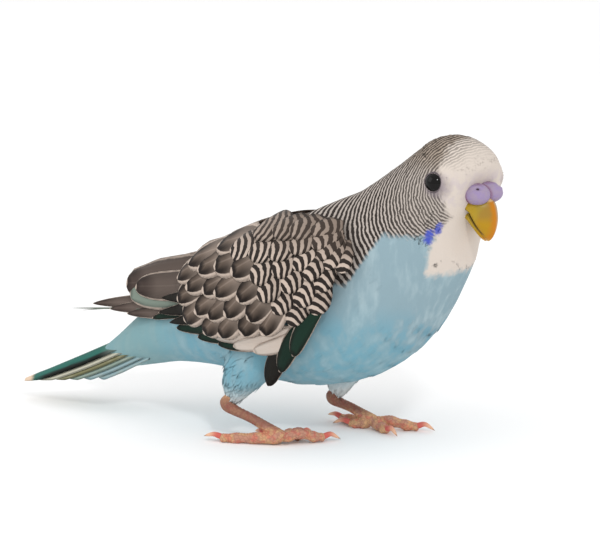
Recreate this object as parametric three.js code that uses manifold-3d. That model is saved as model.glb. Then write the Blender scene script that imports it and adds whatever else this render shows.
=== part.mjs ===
// A young budgerigar standing on both feet, at life size, in millimetres.
// +X is forwards, +Y is the bird's left and +Z is up; the feet stand at z = 0.
// The body is one smooth loft parted by thin cuts. Wings, tail, legs, eyes and bill are set on it.
import * as THREE from "three";
import { mergeVertices } from "three/addons/utils/BufferGeometryUtils.js";
import Module from "manifold-3d";

const wasm = await Module();
wasm.setup();

// Driving sizes.
const GAP = 0.3; // left between nodes that meet
const RIGHT = -1; // the side of the bird at negative y
const LEFT = 1;
const VANE = 0.55; // thickness of a feather

// Sections of the body from the tail to the head: top and bottom in side view, and half width.
const BODY = [
  { top: [-66, 17], bottom: [-63, 12.4], wide: 3 }, // flesh of the tail
  { top: [-55, 25], bottom: [-51, 13.4], wide: 6.4 }, // tail base
  { top: [-43, 34.5], bottom: [-38, 15], wide: 10.4 }, // rump
  { top: [-30, 44], bottom: [-22, 14.4], wide: 15.4 }, // hips
  { top: [-16, 52.6], bottom: [-3, 12.4], wide: 19.2 }, // belly
  { top: [-2, 59.6], bottom: [16.4, 17], wide: 20.6 }, // breast
  { top: [10, 66], bottom: [31.2, 28.6], wide: 19.8 }, // shoulders
  { top: [19.2, 72.4], bottom: [40.2, 45], wide: 16.6 }, // throat
  { top: [27.3, 78.7], bottom: [45.7, 60.3], wide: 12.9 }, // head
];
const CUTS = { tail_base: 1.35, rump: 2.55, torso: 6.1, neck: 7.35 }; // where each ends, in sections

// The shell that the folded wings lie on, in the same form.
const WING_SHELL = [
  { top: [-82, 31], bottom: [-77, 12], wide: 4.2 },
  { top: [-60, 37.5], bottom: [-55, 8], wide: 7.6 },
  { top: [-44, 45.5], bottom: [-37, 6], wide: 12.2 },
  { top: [-28, 51], bottom: [-19, 6], wide: 17.6 },
  { top: [-14, 58], bottom: [-1, 6], wide: 21.6 },
  { top: [-1, 64.5], bottom: [18, 10], wide: 23 },
  { top: [12, 71], bottom: [35, 22], wide: 22 },
  { top: [22, 77], bottom: [44, 40], wide: 18.6 },
];

const HEAD = { centre: [36.5, 0, 69.5], radius: 12.95, yaw: -20 }; // the face turns to the right
// The face is flatter below the forehead: by what share, between which heights, and how wide.
const FACE = { flat: 0.32, from: 7.5, to: 0.5, end: -12, fade: -20, wide: 14 };
const EYE = { forward: 3.5, side: 12.1, up: 2.3, radius: 2.9, proud: 0.7 };
const LID = { opens: 48, ends: 80, thick: 0.55, around: 16 };

// Wing arm: a lens in the side view, under the coverts.
const ARM = { x: -10.6, z: 43.3, half_length: 27.6, half_height: 14.8, slope: 17, outer: 1.3, inner: 4 };

// Tiers of the wing in side view: where roots and tips run, from the first feather to the last.
const TIERS = {
  primaries: {
    count: 6, width: 5.8, end: 0.4, lift: [-1.4, -0.7], tilt: 0.6, rows: 4, columns: 1,
    roots: [[-10, 40], [2, 32]], tips: [[-67.5, 29], [-40, 28.6]], bow: -1.4, sweep: 1,
  },
  secondaries: {
    count: 5, width: 9.2, end: 0.72, lift: [-0.7, 0.4], tilt: 0.6, rows: 3, columns: 1,
    roots: [[-18, 44], [-4, 33]], tips: [[-55, 34.2], [-34, 27.6]], bow: -0.6, sweep: 1,
  },
  scapulars: {
    count: 4, width: 8.2, end: 0.72, lift: [-0.6, 0.8], tilt: 0.6, rows: 3, columns: 1,
    roots: [[4, 55], [-10, 44]], tips: [[-27, 50], [-41.5, 41]], bow: 0.6, sweep: 1,
  },
  greater_coverts: {
    count: 5, width: 8.4, end: 0.74, lift: [-0.6, 0.8], tilt: 0.6, rows: 3, columns: 1,
    roots: [[-11, 41], [4, 33]], tips: [[-41, 36.4], [-10, 25.6]], bow: -0.8, sweep: 1.6,
  },
  median_coverts: {
    count: 5, width: 7.6, end: 0.74, lift: [-0.6, 1], tilt: 0.6, rows: 3, columns: 1,
    roots: [[2, 51], [9, 36]], tips: [[-20, 44.6], [-3, 30]], bow: -0.4, sweep: 1.3,
  },
  alula: {
    count: 3, width: 5.6, end: 0.5, lift: [0, 1.2], tilt: 0.6, rows: 3, columns: 1,
    roots: [[3, 36], [8, 38]], tips: [[-5.6, 17], [2.6, 24.6]], bow: 0.8, sweep: 1,
  },
};
const FAR_WING_TURN = -1.5; // degrees that the left wing is carried lower

const TAIL = {
  root: [-50, 19.4], tip: [-89, 3.6], pairs: 6, width: 6.2, shortest: 0.42, drop: 0.85, spread: 4,
};
const TAIL_COVERTS = [
  { count: 4, width: 6.6, root: [-47, 27.6], tip: [-64, 17], face: 1 },
  { count: 4, width: 6.6, root: [-45, 14.2], tip: [-62, 9.6], face: -1 },
];

// Legs: the thigh, the ankle and the ball of the foot of each side, and the toes as headings.
const LEGS = {
  right: {
    side: RIGHT, knee: [-13, -10.4, 24], ankle: [-20.4, -15.2, 8.6], ball: [-4.6, -16.4, 2.4],
    toes: [
      { name: "1", turn: 150, length: 7.5, arch: 0.4, claw_tip: 1.3 },
      { name: "2", turn: 76, length: 8.5, arch: 1.2, claw_tip: 0.5 },
      { name: "3", turn: 42, length: 11.4, arch: 1.8, claw_tip: 0.5 },
      { name: "4", turn: -167, length: 16, arch: 0.5, claw_tip: 1.5 },
    ],
  },
  left: {
    side: LEFT, knee: [4, 10.4, 23], ankle: [-1.2, 9.4, 6.8], ball: [9.8, 9.2, 2.4],
    toes: [
      { name: "1", turn: -168, length: 6, arch: 0.3, claw_tip: 1 },
      { name: "2", turn: -32, length: 7, arch: 0.6, claw_tip: 0.5 },
      { name: "3", turn: 12, length: 12.2, arch: 1.2, claw_tip: 0.5 },
      { name: "4", turn: 165, length: 10.5, arch: 0.5, claw_tip: 1.5 },
    ],
  },
};
const THIGH = { top: 7.6, middle: 5.8, cuff: 2.9 };
const SHANK = { ankle: 2.6, middle: 1.65, ball: 2.2 };
const TOE = { base: 1.7, tip: 1.2, height: 1.1, pads: 3, pad: 0.15, rows: 7, around: 8 };
const CLAW = { length: 4.6, radius: 0.85, rise: 0.9, rows: 5, around: 6 };

// Small tools.
const radians = THREE.MathUtils.degToRad;
const mix = THREE.MathUtils.lerp;
const vec = (x, y, z) => new THREE.Vector3(x, y, z);

// A closed geometry as a solid, turned the right way out.
function solid(geometry) {
  const bare = new THREE.BufferGeometry();
  bare.setAttribute("position", geometry.getAttribute("position"));
  bare.setIndex(geometry.index);
  const merged = mergeVertices(bare, 1e-4);
  const triVerts = new Uint32Array(merged.index.array);
  const vertProperties = new Float32Array(merged.attributes.position.array);
  const made = new wasm.Manifold(new wasm.Mesh({ numProp: 3, vertProperties, triVerts }));
  if (made.volume() >= 0) return made;
  for (let i = 0; i < triVerts.length; i += 3) {
    [triVerts[i + 1], triVerts[i + 2]] = [triVerts[i + 2], triVerts[i + 1]];
  }
  return new wasm.Manifold(new wasm.Mesh({ numProp: 3, vertProperties, triVerts }));
}

function geometryOf(manifold) {
  const mesh = manifold.getMesh();
  const geometry = new THREE.BufferGeometry();
  geometry.setAttribute("position", new THREE.BufferAttribute(new Float32Array(mesh.vertProperties), 3));
  geometry.setIndex(new THREE.BufferAttribute(new Uint32Array(mesh.triVerts), 1));
  geometry.computeVertexNormals();
  return geometry;
}

const largest = (manifold) =>
  manifold.decompose().reduce((best, piece) => (piece.volume() > best.volume() ? piece : best));

const joined = (solids) => solids.reduce((whole, next) => whole.add(next));

// A sphere's grid whose rows are moved onto rings. A ring has a centre c and two half axes, a and b.
function skin(rings, around, start, end, press = (point) => point) {
  const geometry = new THREE.SphereGeometry(1, around, rings.length + 1);
  const place = geometry.getAttribute("position");
  for (let row = 0; row <= rings.length + 1; row += 1) {
    for (let column = 0; column <= around; column += 1) {
      const index = row * (around + 1) + column;
      const ring = rings[row - 1];
      let point = row === 0 ? start : end;
      if (ring) {
        const angle = ((column % around) / around) * 2 * Math.PI;
        point = ring.c.clone();
        point.addScaledVector(ring.a, Math.cos(angle));
        point.addScaledVector(ring.b, Math.sin(angle));
      }
      point = press(point);
      place.setXYZ(index, point.x, point.y, point.z);
    }
  }
  return solid(geometry);
}

// A thin curved plate: place(t, j, side) gives a point at t of the length, j from -1 to 1 across.
function plate(rows, columns, place) {
  const points = [];
  const faces = [];
  const at = (i, j, k) => (i * (columns + 1) + j) * 2 + k;
  for (let i = 0; i <= rows; i += 1) {
    for (let j = 0; j <= columns; j += 1) {
      for (const k of [0, 1]) points.push(...place(i / rows, (2 * j) / columns - 1, k).toArray());
    }
  }
  const quad = (a, b, c, d) => faces.push(a, b, c, a, c, d);
  for (let i = 0; i < rows; i += 1) {
    for (let j = 0; j < columns; j += 1) {
      quad(at(i, j, 1), at(i + 1, j, 1), at(i + 1, j + 1, 1), at(i, j + 1, 1));
      faces.push(at(i, j, 0), at(i + 1, j + 1, 0), at(i + 1, j, 0));
      faces.push(at(i, j, 0), at(i, j + 1, 0), at(i + 1, j + 1, 0));
    }
    quad(at(i, 0, 1), at(i, 0, 0), at(i + 1, 0, 0), at(i + 1, 0, 1));
    quad(at(i, columns, 0), at(i, columns, 1), at(i + 1, columns, 1), at(i + 1, columns, 0));
  }
  for (let j = 0; j < columns; j += 1) {
    quad(at(0, j, 0), at(0, j, 1), at(0, j + 1, 1), at(0, j + 1, 0));
    quad(at(rows, j, 1), at(rows, j, 0), at(rows, j + 1, 0), at(rows, j + 1, 1));
  }
  const geometry = new THREE.BufferGeometry();
  geometry.setAttribute("position", new THREE.BufferAttribute(new Float32Array(points), 3));
  geometry.setIndex(faces);
  return solid(geometry);
}

// Smooth curves through the tops and bottoms of a list of sections.
function sections(list) {
  const curve = (side) =>
    new THREE.CatmullRomCurve3(list.map((k) => vec(k[side][0], k.wide, k[side][1])));
  const top = curve("top");
  const bottom = curve("bottom");
  // The section at s, from 0 at the first of the list to 1 at the last.
  return (s) => {
    const t = top.getPoint(s);
    const b = bottom.getPoint(s);
    return { top: vec(t.x, 0, t.z), bottom: vec(b.x, 0, b.z), wide: (t.y + b.y) / 2 };
  };
}

function ringOf(section, grow, share = 1) {
  const half = section.top.clone().sub(section.bottom).multiplyScalar(0.5);
  const centre = section.top.clone().add(section.bottom).multiplyScalar(0.5);
  const reach = half.length();
  return {
    c: centre,
    a: half.clone().multiplyScalar(((reach + grow) / reach) * share),
    b: vec(0, (section.wide + grow) * share, 0),
    ahead: vec(half.z, 0, -half.x).normalize(),
    reach: reach + grow,
  };
}

const bodyAt = sections(BODY);
const wingAt = sections(WING_SHELL);
const bodyShare = (number) => number / (BODY.length - 1);

// Places and directions on the turned head.
const headCentre = vec(...HEAD.centre);
const faceAhead = vec(Math.cos(radians(HEAD.yaw)), Math.sin(radians(HEAD.yaw)), 0);
const faceLeft = vec(-faceAhead.y, faceAhead.x, 0);
function onFace(forward, left, up) {
  const point = headCentre.clone().addScaledVector(faceAhead, forward);
  return point.addScaledVector(faceLeft, left).add(vec(0, 0, up));
}

// Presses the face in below the forehead.
function pressFace(point) {
  const from = point.clone().sub(headCentre);
  const forward = from.dot(faceAhead);
  if (forward <= 0) return point;
  const { smoothstep } = THREE.MathUtils;
  const low = (1 - smoothstep(from.z, FACE.to, FACE.from)) * smoothstep(from.z, FACE.fade, FACE.end);
  const middle = Math.max(0, 1 - (from.dot(faceLeft) / FACE.wide) ** 2);
  return point.clone().addScaledVector(faceAhead, -forward * FACE.flat * low * middle);
}

// The whole body as one loft with a round face. grow makes it larger all round.
function flesh(grow = 0, rows = 22, around = 24, capRows = 6) {
  const rings = [];
  for (let i = 0; i <= rows; i += 1) rings.push(ringOf(bodyAt(i / rows), grow));
  const face = rings[rings.length - 1];
  for (let i = 1; i < capRows; i += 1) {
    const turn = (i / capRows) * (Math.PI / 2);
    const ring = ringOf(bodyAt(1), grow, Math.cos(turn));
    ring.c.addScaledVector(face.ahead, face.reach * Math.sin(turn));
    rings.push(ring);
  }
  const tail = rings[0].c.clone().addScaledVector(rings[0].ahead, -1 - grow);
  const front = face.c.clone().addScaledVector(face.ahead, face.reach);
  return skin(rings, around, tail, front, pressFace);
}

// A thin slab across the body at a section, which parts one node from the next.
function slabAt(number) {
  const ring = ringOf(bodyAt(bodyShare(number)), 0);
  const geometry = new THREE.BoxGeometry(GAP, 90, 120);
  geometry.rotateY(Math.atan2(ring.a.x, ring.a.z));
  geometry.translate(ring.c.x, 0, ring.c.z);
  return solid(geometry);
}

function partedFlesh(whole) {
  const slabs = Object.values(CUTS).map(slabAt);
  const pieces = whole.subtract(joined(slabs)).decompose();
  const middle = (piece) => piece.boundingBox().min[0] + piece.boundingBox().max[0];
  pieces.sort((p, q) => middle(p) - middle(q));
  const names = [...Object.keys(CUTS), "head"];
  return Object.fromEntries(names.map((name, i) => [name, pieces[i]]));
}

// How far out the wing shell is at a place in side view.
function shellReach(x, z) {
  const across = (s) => {
    const { top, bottom } = wingAt(s);
    return (top.x - bottom.x) * (z - bottom.z) - (top.z - bottom.z) * (x - bottom.x);
  };
  let low = 0;
  let high = 1;
  for (let i = 0; i < 30; i += 1) {
    const s = (low + high) / 2;
    if (across(s) > 0) high = s;
    else low = s;
  }
  const { top, bottom, wide } = wingAt(low);
  const line = top.clone().sub(bottom);
  const up = vec(x, 0, z).sub(bottom).dot(line) / line.lengthSq();
  const cosine = THREE.MathUtils.clamp(2 * up - 1, -1, 1);
  return Math.max(1.4, wide * Math.sqrt(1 - cosine * cosine));
}

// A point on the wing of a side, lifted off the shell along its normal.
function onWing(side, x, z, lift) {
  const step = 0.4;
  const y = shellReach(x, z);
  const slopeX = (shellReach(x + step, z) - shellReach(x - step, z)) / (2 * step);
  const slopeZ = (shellReach(x, z + step) - shellReach(x, z - step)) / (2 * step);
  const normal = vec(-slopeX, 1, -slopeZ).normalize();
  const point = vec(x, y, z).addScaledVector(normal, lift);
  point.y = Math.max(point.y, 0.8);
  return vec(point.x, point.y * side, point.z);
}

// How far the wing arm bulges off the shell at a place in side view.
function armBulge(x, z) {
  const slope = radians(ARM.slope);
  const along = (x - ARM.x) * Math.cos(slope) + (z - ARM.z) * Math.sin(slope);
  const up = (z - ARM.z) * Math.cos(slope) - (x - ARM.x) * Math.sin(slope);
  const far = (along / ARM.half_length) ** 2 + (up / ARM.half_height) ** 2;
  return ARM.outer * Math.sqrt(Math.max(0, 1 - far));
}

function wingArm(side) {
  const slope = radians(ARM.slope);
  const geometry = new THREE.SphereGeometry(1, 20, 10);
  geometry.rotateX(Math.PI / 2);
  const place = geometry.getAttribute("position");
  for (let i = 0; i < place.count; i += 1) {
    const along = place.getX(i) * ARM.half_length;
    const up = place.getY(i) * ARM.half_height;
    const out = place.getZ(i);
    const x = ARM.x + along * Math.cos(slope) - up * Math.sin(slope);
    const z = ARM.z + along * Math.sin(slope) + up * Math.cos(slope);
    const point = onWing(side, x, z, out * (out > 0 ? ARM.outer : ARM.inner));
    place.setXYZ(i, point.x, point.y, point.z);
  }
  return solid(geometry);
}

// Half width of a feather along its length, as a share of the widest.
function featherShape(t, end) {
  if (t < 0.55) return mix(0.5, 1, Math.sin((t / 0.55) * (Math.PI / 2)));
  return mix(1, end, ((t - 0.55) / 0.45) ** 2);
}

// One feather of the wing: root and tip in side view. Its lower edge lies over the next one down.
function wingFeather(side, root, tip, tier) {
  const along = new THREE.Vector2(tip[0] - root[0], tip[1] - root[1]);
  const across = new THREE.Vector2(along.y, -along.x).normalize();
  const stations = tier.rows === 4 ? [0, 0.36, 0.7, 0.92, 1] : [0, 0.5, 0.86, 1];
  return plate(tier.rows, tier.columns, (share, j, outer) => {
    const t = stations[Math.round(share * tier.rows)];
    const half = (tier.width / 2) * featherShape(t, tier.end) * (t === 1 ? 0.5 : 1);
    const bend = tier.bow * Math.sin(t * Math.PI);
    const x = root[0] + along.x * t + across.x * (half * j + bend);
    const z = root[1] + along.y * t + across.y * (half * j + bend);
    const rise = mix(tier.lift[0], tier.lift[1], Math.min(1, t * 1.4));
    return onWing(side, x, z, armBulge(x, z) + rise - tier.tilt * j + (outer - 0.5) * VANE);
  });
}

function tierFeathers(side, tier) {
  const feathers = [];
  for (let i = 0; i < tier.count; i += 1) {
    const share = i / (tier.count - 1);
    const between = (ends, x) => [mix(ends[0][0], ends[1][0], x), mix(ends[0][1], ends[1][1], share)];
    const tip = between(tier.tips, share ** tier.sweep);
    feathers.push(wingFeather(side, between(tier.roots, share), tip, tier));
  }
  return feathers;
}

function wing(side, cut) {
  const pieces = [wingArm(side), ...Object.values(TIERS).flatMap((tier) => tierFeathers(side, tier))];
  let whole = joined(pieces);
  if (side === LEFT) {
    const turn = new THREE.Matrix4().makeTranslation(ARM.x, 0, ARM.z);
    turn.multiply(new THREE.Matrix4().makeRotationY(radians(FAR_WING_TURN)));
    turn.multiply(new THREE.Matrix4().makeTranslation(-ARM.x, 0, -ARM.z));
    whole = whole.transform(turn.elements);
  }
  return largest(whole.subtract(cut));
}

// The tail: overlapping pairs of feathers in steps, each pair lower and shorter than the last.
function tailFeathers() {
  const root = vec(TAIL.root[0], 0, TAIL.root[1]);
  const tip = vec(TAIL.tip[0], 0, TAIL.tip[1]);
  const back = tip.clone().sub(root);
  const reach = back.length();
  back.normalize();
  const up = vec(-back.z, 0, back.x).multiplyScalar(back.x < 0 ? -1 : 1);
  const feathers = [];
  for (let pair = 0; pair < TAIL.pairs; pair += 1) {
    for (const side of [RIGHT, LEFT]) {
      const layer = pair + (pair === 0 && side === LEFT ? 0.8 : 0) + (pair > 0 ? 0.8 : 0);
      const length = reach * mix(1, TAIL.shortest, pair / (TAIL.pairs - 1));
      const centreAt = pair === 0 ? 0.6 : 0.15 + TAIL.width / 2;
      const fan = Math.tan(radians(TAIL.spread)) * (pair / (TAIL.pairs - 1));
      feathers.push(
        plate(3, pair === 0 ? 2 : 1, (share, j, outer) => {
          const t = [0, 0.5, 0.93, 1][Math.round(share * 3)];
          const shape = mix(0.8, 1, Math.min(1, t * 2)) * (t > 0.9 ? (t === 1 ? 0.2 : 0.66) : 1);
          const half = (TAIL.width / 2) * shape;
          const y = side * (centreAt + fan * length * t) + j * half;
          const roof = -0.12 * Math.abs(y) * (pair === 0 ? 0.5 : 1);
          const sag = -TAIL.drop * layer * mix(0.75, 1, t);
          const point = root.clone().addScaledVector(back, length * t);
          point.addScaledVector(up, 1.8 + roof + sag + (outer - 0.5) * VANE);
          return point.setY(y);
        }),
      );
    }
  }
  return feathers;
}

// Soft coverts that lie over and under the tail's root.
function tailCoverts({ count, width, root, tip, face }) {
  const feathers = [];
  for (let i = 0; i < count; i += 1) {
    const turn = (i / (count - 1) - 0.5) * 2;
    const share = 1 - 0.22 * turn * turn;
    feathers.push(
      plate(3, 2, (part, j, outer) => {
        const t = [0, 0.5, 0.85, 1][Math.round(part * 3)];
        const half = (width / 2) * (t === 1 ? 0.35 : mix(0.8, 1, t));
        const y = turn * 4 * mix(1, 0.75, t) + j * half;
        const round = -face * (0.06 * y * y * (1 - 0.5 * t) - 0.3 * j);
        const x = mix(root[0], tip[0], t * share);
        return vec(x, y, mix(root[1], tip[1], t * share) + round + (outer - 0.5) * VANE);
      }),
    );
  }
  return feathers;
}

function ball(centre, radius, around = 14, rows = 9) {
  const geometry = new THREE.SphereGeometry(radius, around, rows);
  geometry.translate(centre.x, centre.y, centre.z);
  return solid(geometry);
}

// A ring of the lids' form between two radii and two angles from the eye's axis.
function lidRing(inner, outer, opens, ends) {
  const profile = [];
  for (const [radius, from, to] of [[inner, opens, ends], [outer, ends, opens]]) {
    for (let i = 0; i <= 3; i += 1) {
      const angle = radians(mix(from, to, i / 3));
      profile.push(new THREE.Vector2(radius * Math.sin(angle), radius * Math.cos(angle)));
    }
  }
  profile.push(profile[0].clone());
  return new THREE.LatheGeometry(profile, LID.around);
}

function eyeParts(side) {
  const out = onFace(EYE.forward, side * EYE.side, EYE.up).sub(headCentre).normalize();
  const centre = headCentre.clone().addScaledVector(out, HEAD.radius + EYE.proud - EYE.radius);
  const inner = EYE.radius + GAP;
  const outer = inner + LID.thick;
  const placed = (ring) => {
    ring.applyQuaternion(new THREE.Quaternion().setFromUnitVectors(vec(0, 1, 0), out));
    ring.translate(centre.x, centre.y, centre.z);
    return solid(ring);
  };
  const room = placed(lidRing(inner - GAP / 2, outer + GAP, LID.opens - 20, LID.ends + 8));
  return {
    eye: ball(centre, EYE.radius),
    lid: placed(lidRing(inner, outer, LID.opens, LID.ends)),
    socket: ball(centre, inner, 16, 10).add(room),
  };
}

// The bill in face directions: forward and up of each ring, half width and half depth.
const UPPER_BILL = [
  { at: [6, -4.4], wide: 5.4, deep: 3.2 },
  { at: [9.8, -4.2], wide: 5.4, deep: 3 },
  { at: [11.6, -5.6], wide: 4.8, deep: 2.7 },
  { at: [12.4, -8], wide: 3.8, deep: 2.4 },
  { at: [12.4, -10.4], wide: 2.5, deep: 1.7 },
  { at: [12, -12.2], wide: 1.2, deep: 0.9 },
];
const UPPER_TIP = [11.7, -13.3];
const LOWER_BILL = [
  { at: [5, -7.4], wide: 4.2, deep: 2.3 },
  { at: [8, -8.4], wide: 4, deep: 2.2 },
  { at: [9.8, -10.2], wide: 3, deep: 1.7 },
];
const LOWER_TIP = [10.6, -11.8];
const CERE = { forward: 9.4, side: 2.8, up: -0.3, radii: [4, 3.4, 3.1], nostril: 0.8, turn: 18 };

function bill(rings, tip, grow = 0) {
  const made = rings.map((ring, i) => {
    const before = rings[Math.max(0, i - 1)].at;
    const after = i + 1 < rings.length ? rings[i + 1].at : tip;
    const along = onFace(after[0], 0, after[1]).sub(onFace(before[0], 0, before[1])).normalize();
    const deep = faceLeft.clone().cross(along).normalize();
    return {
      c: onFace(ring.at[0], 0, ring.at[1]),
      a: deep.multiplyScalar(ring.deep + grow),
      b: faceLeft.clone().multiplyScalar(ring.wide + grow),
    };
  });
  const start = onFace(rings[0].at[0] - 1, 0, rings[0].at[1]);
  const end = onFace(tip[0], 0, tip[1] - grow);
  return skin(made, 16, start, end);
}

function cere() {
  const lobes = [RIGHT, LEFT].map((side) => {
    const geometry = new THREE.SphereGeometry(1, 14, 8);
    geometry.scale(...CERE.radii);
    geometry.rotateZ(radians(HEAD.yaw + side * CERE.turn));
    const at = onFace(CERE.forward, side * CERE.side, CERE.up);
    geometry.translate(at.x, at.y, at.z);
    return solid(geometry);
  });
  const nostrils = [RIGHT, LEFT].map((side) => {
    const at = onFace(CERE.forward + 2.5, side * (CERE.side + 1.2), CERE.up + 1.8);
    return ball(at, CERE.nostril, 6, 4);
  });
  return joined(lobes).subtract(joined(nostrils));
}

// A tube along a curve: size(t) gives its half width and half height.
function tube(points, rows, around, size, across = vec(0, 1, 0)) {
  const curve = new THREE.CatmullRomCurve3(points);
  const rings = [];
  for (let i = 0; i <= rows; i += 1) {
    const t = i / rows;
    const along = curve.getTangent(t);
    const side = across.clone().addScaledVector(along, -across.dot(along)).normalize();
    const up = along.clone().cross(side).normalize();
    const [wide, high] = size(t);
    rings.push({ c: curve.getPoint(t), a: up.multiplyScalar(high), b: side.multiplyScalar(wide) });
  }
  const cap = (t, way) => {
    const reach = size(t)[1] * 0.5;
    return curve.getPoint(t).addScaledVector(curve.getTangent(t), way * reach);
  };
  return skin(rings, around, cap(0, -1), cap(1, 1));
}

function thigh(leg, grow = 0) {
  const knee = vec(...leg.knee);
  const ankle = vec(...leg.ankle);
  const cuff = knee.clone().lerp(ankle, 0.86);
  const middle = knee.clone().lerp(ankle, 0.5).add(vec(-0.6, leg.side * 0.6, 0));
  return tube([knee, middle, cuff], 5, 14, (t) => {
    const size = mix(mix(THIGH.top, THIGH.middle, t), mix(THIGH.middle, THIGH.cuff, t), t) + grow;
    return [size, size * 1.12];
  });
}

function shank(leg, grow = 0) {
  const ankle = vec(...leg.ankle);
  const ball = vec(...leg.ball);
  const heel = ankle.clone().add(vec(0.9, 0, 3.4));
  const bend = ankle.clone().add(vec(-0.2, 0, 0.4));
  const middle = ankle.clone().lerp(ball, 0.5).add(vec(0, 0, 0.2));
  const end = ball.clone().add(vec(0.9, 0, -0.3));
  return tube([heel, bend, middle, end], 9, 10, (t) => {
    const ankleKnob = (SHANK.ankle - SHANK.middle) * Math.exp(-(((t - 0.3) / 0.16) ** 2));
    const ballKnob = (SHANK.ball - SHANK.middle) * Math.exp(-(((t - 1) / 0.2) ** 2));
    const size = SHANK.middle + ankleKnob + ballKnob + grow;
    return [size, size];
  });
}

function toeLine(leg, toe) {
  const turn = radians(toe.turn);
  const ahead = vec(Math.cos(turn), Math.sin(turn), 0);
  const ball = vec(...leg.ball).setZ(0);
  const at = (distance, height) => ball.clone().addScaledVector(ahead, distance).setZ(height);
  return { across: vec(-ahead.y, ahead.x, 0), at };
}

function toeSolid(leg, toe, grow = 0) {
  const { across, at } = toeLine(leg, toe);
  const points = [
    at(0.6, TOE.height + 0.7),
    at(toe.length * 0.4, TOE.height + toe.arch),
    at(toe.length * 0.75, TOE.height + toe.arch * 0.35),
    at(toe.length, TOE.height),
  ];
  return tube(points, TOE.rows, TOE.around, (t) => {
    const pads = TOE.pad * Math.cos(t * TOE.pads * 2 * Math.PI);
    const size = mix(TOE.base, TOE.tip, t) + pads + grow;
    return [size * 0.95, size];
  }, across);
}

function clawSolid(leg, toe) {
  const { across, at } = toeLine(leg, toe);
  const start = toe.length + TOE.tip * 0.2;
  const points = [
    at(start, TOE.height + 0.4),
    at(start + CLAW.length * 0.4, TOE.height + CLAW.rise),
    at(start + CLAW.length * 0.78, mix(TOE.height + CLAW.rise, toe.claw_tip, 0.6)),
    at(start + CLAW.length, toe.claw_tip),
  ];
  return tube(points, CLAW.rows, CLAW.around, (t) => {
    const size = Math.max(0.14, CLAW.radius * (1 - t ** 1.4));
    return [size * 0.8, size];
  }, across);
}

function ground() {
  const geometry = new THREE.BoxGeometry(300, 200, 20);
  geometry.translate(0, 0, -10);
  return solid(geometry);
}

// The parts in the order they claim their space: each gives way to the ones before it.
const nodes = new Map();
const whole = flesh();
const fullFlesh = flesh(GAP);
const eyes = { right: eyeParts(RIGHT), left: eyeParts(LEFT) };
const fleshNodes = partedFlesh(whole);

const upperBill = bill(UPPER_BILL, UPPER_TIP);
const upperBillRoom = bill(UPPER_BILL, UPPER_TIP, GAP);

let head = fleshNodes.head;
for (const side of ["right", "left"]) head = head.subtract(eyes[side].socket);
nodes.set("head", largest(head));
nodes.set("neck", fleshNodes.neck);
nodes.set("rump", fleshNodes.rump);

nodes.set("bill_upper", largest(upperBill.subtract(fullFlesh)));
nodes.set("bill_lower", largest(bill(LOWER_BILL, LOWER_TIP).subtract(fullFlesh).subtract(upperBillRoom)));
nodes.set("cere", largest(cere().subtract(fullFlesh).subtract(upperBillRoom)));

const floor = ground();
nodes.set("torso", fleshNodes.torso);
for (const [name, leg] of Object.entries(LEGS)) {
  nodes.set("eye_" + name, eyes[name].eye);
  nodes.set("eyelids_" + name, eyes[name].lid);
  nodes.set("thigh_" + name, largest(thigh(leg).subtract(fullFlesh)));
  const thighRoom = thigh(leg, GAP);
  const shankSolid = largest(shank(leg).subtract(thighRoom).subtract(fullFlesh).subtract(floor));
  nodes.set("shank_" + name, shankSolid);
  let taken = shank(leg, GAP);
  for (const toe of leg.toes) {
    const shape = largest(toeSolid(leg, toe).subtract(taken).subtract(floor));
    nodes.set("toe_" + name + "_" + toe.name, shape);
    const room = toeSolid(leg, toe, GAP);
    const claw = clawSolid(leg, toe).subtract(room).subtract(floor);
    nodes.set("claw_" + name + "_" + toe.name, largest(claw));
    taken = taken.add(room);
  }
}

const wingCut = fullFlesh.add(thigh(LEGS.right, GAP)).add(thigh(LEGS.left, GAP));
nodes.set("wing_right", wing(RIGHT, wingCut));
nodes.set("wing_left", wing(LEFT, wingCut));

// The tail clears the rump and the wings.
let tail = joined([fleshNodes.tail_base, ...tailFeathers(), ...TAIL_COVERTS.flatMap(tailCoverts)]);
tail = tail.subtract(partedFlesh(fullFlesh).rump).subtract(slabAt(CUTS.tail_base));
for (const name of ["wing_right", "wing_left"]) {
  for (const rise of [-GAP, GAP]) tail = tail.subtract(nodes.get(name).translate([0, 0, rise]));
}
nodes.set("tail", largest(tail));

const COLOURS = {
  head: 0xcfc8c0, neck: 0xa59a90, torso: 0x8fc3dc, rump: 0x8cc8e0, tail: 0x2f6f70, wing: 0x6a5d52,
  thigh: 0xc9e0ea, shank: 0xb98478, toe: 0xc79080, claw: 0xd8a79a, eye: 0x080808, eyelids: 0xb9b2b4,
  bill: 0xd8a520, cere: 0xb9a3dc,
};

const bird = new THREE.Group();
const bounds = new THREE.Box3();
for (const [name, shape] of nodes) {
  const kind = name.split("_")[0];
  const material = new THREE.MeshStandardMaterial({
    color: COLOURS[kind],
    roughness: kind === "eye" ? 0.1 : 0.8,
    metalness: 0,
  });
  const mesh = new THREE.Mesh(geometryOf(shape), material);
  mesh.name = name;
  bird.add(mesh);
  bounds.expandByObject(mesh);
}

// The origin is the middle of the bird's box, on the floor.
const middle = bounds.getCenter(vec(0, 0, 0));
bird.position.set(-middle.x, -middle.y, -bounds.min.z);
export default bird;
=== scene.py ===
# A young budgerigar on both feet, at life size: one skin and a coat of small feathers over its flesh,
# barred wings, a stepped tail, a waxy cere over a hooked bill, dark eyes, scaly feet, and a pale floor.
import math

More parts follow.
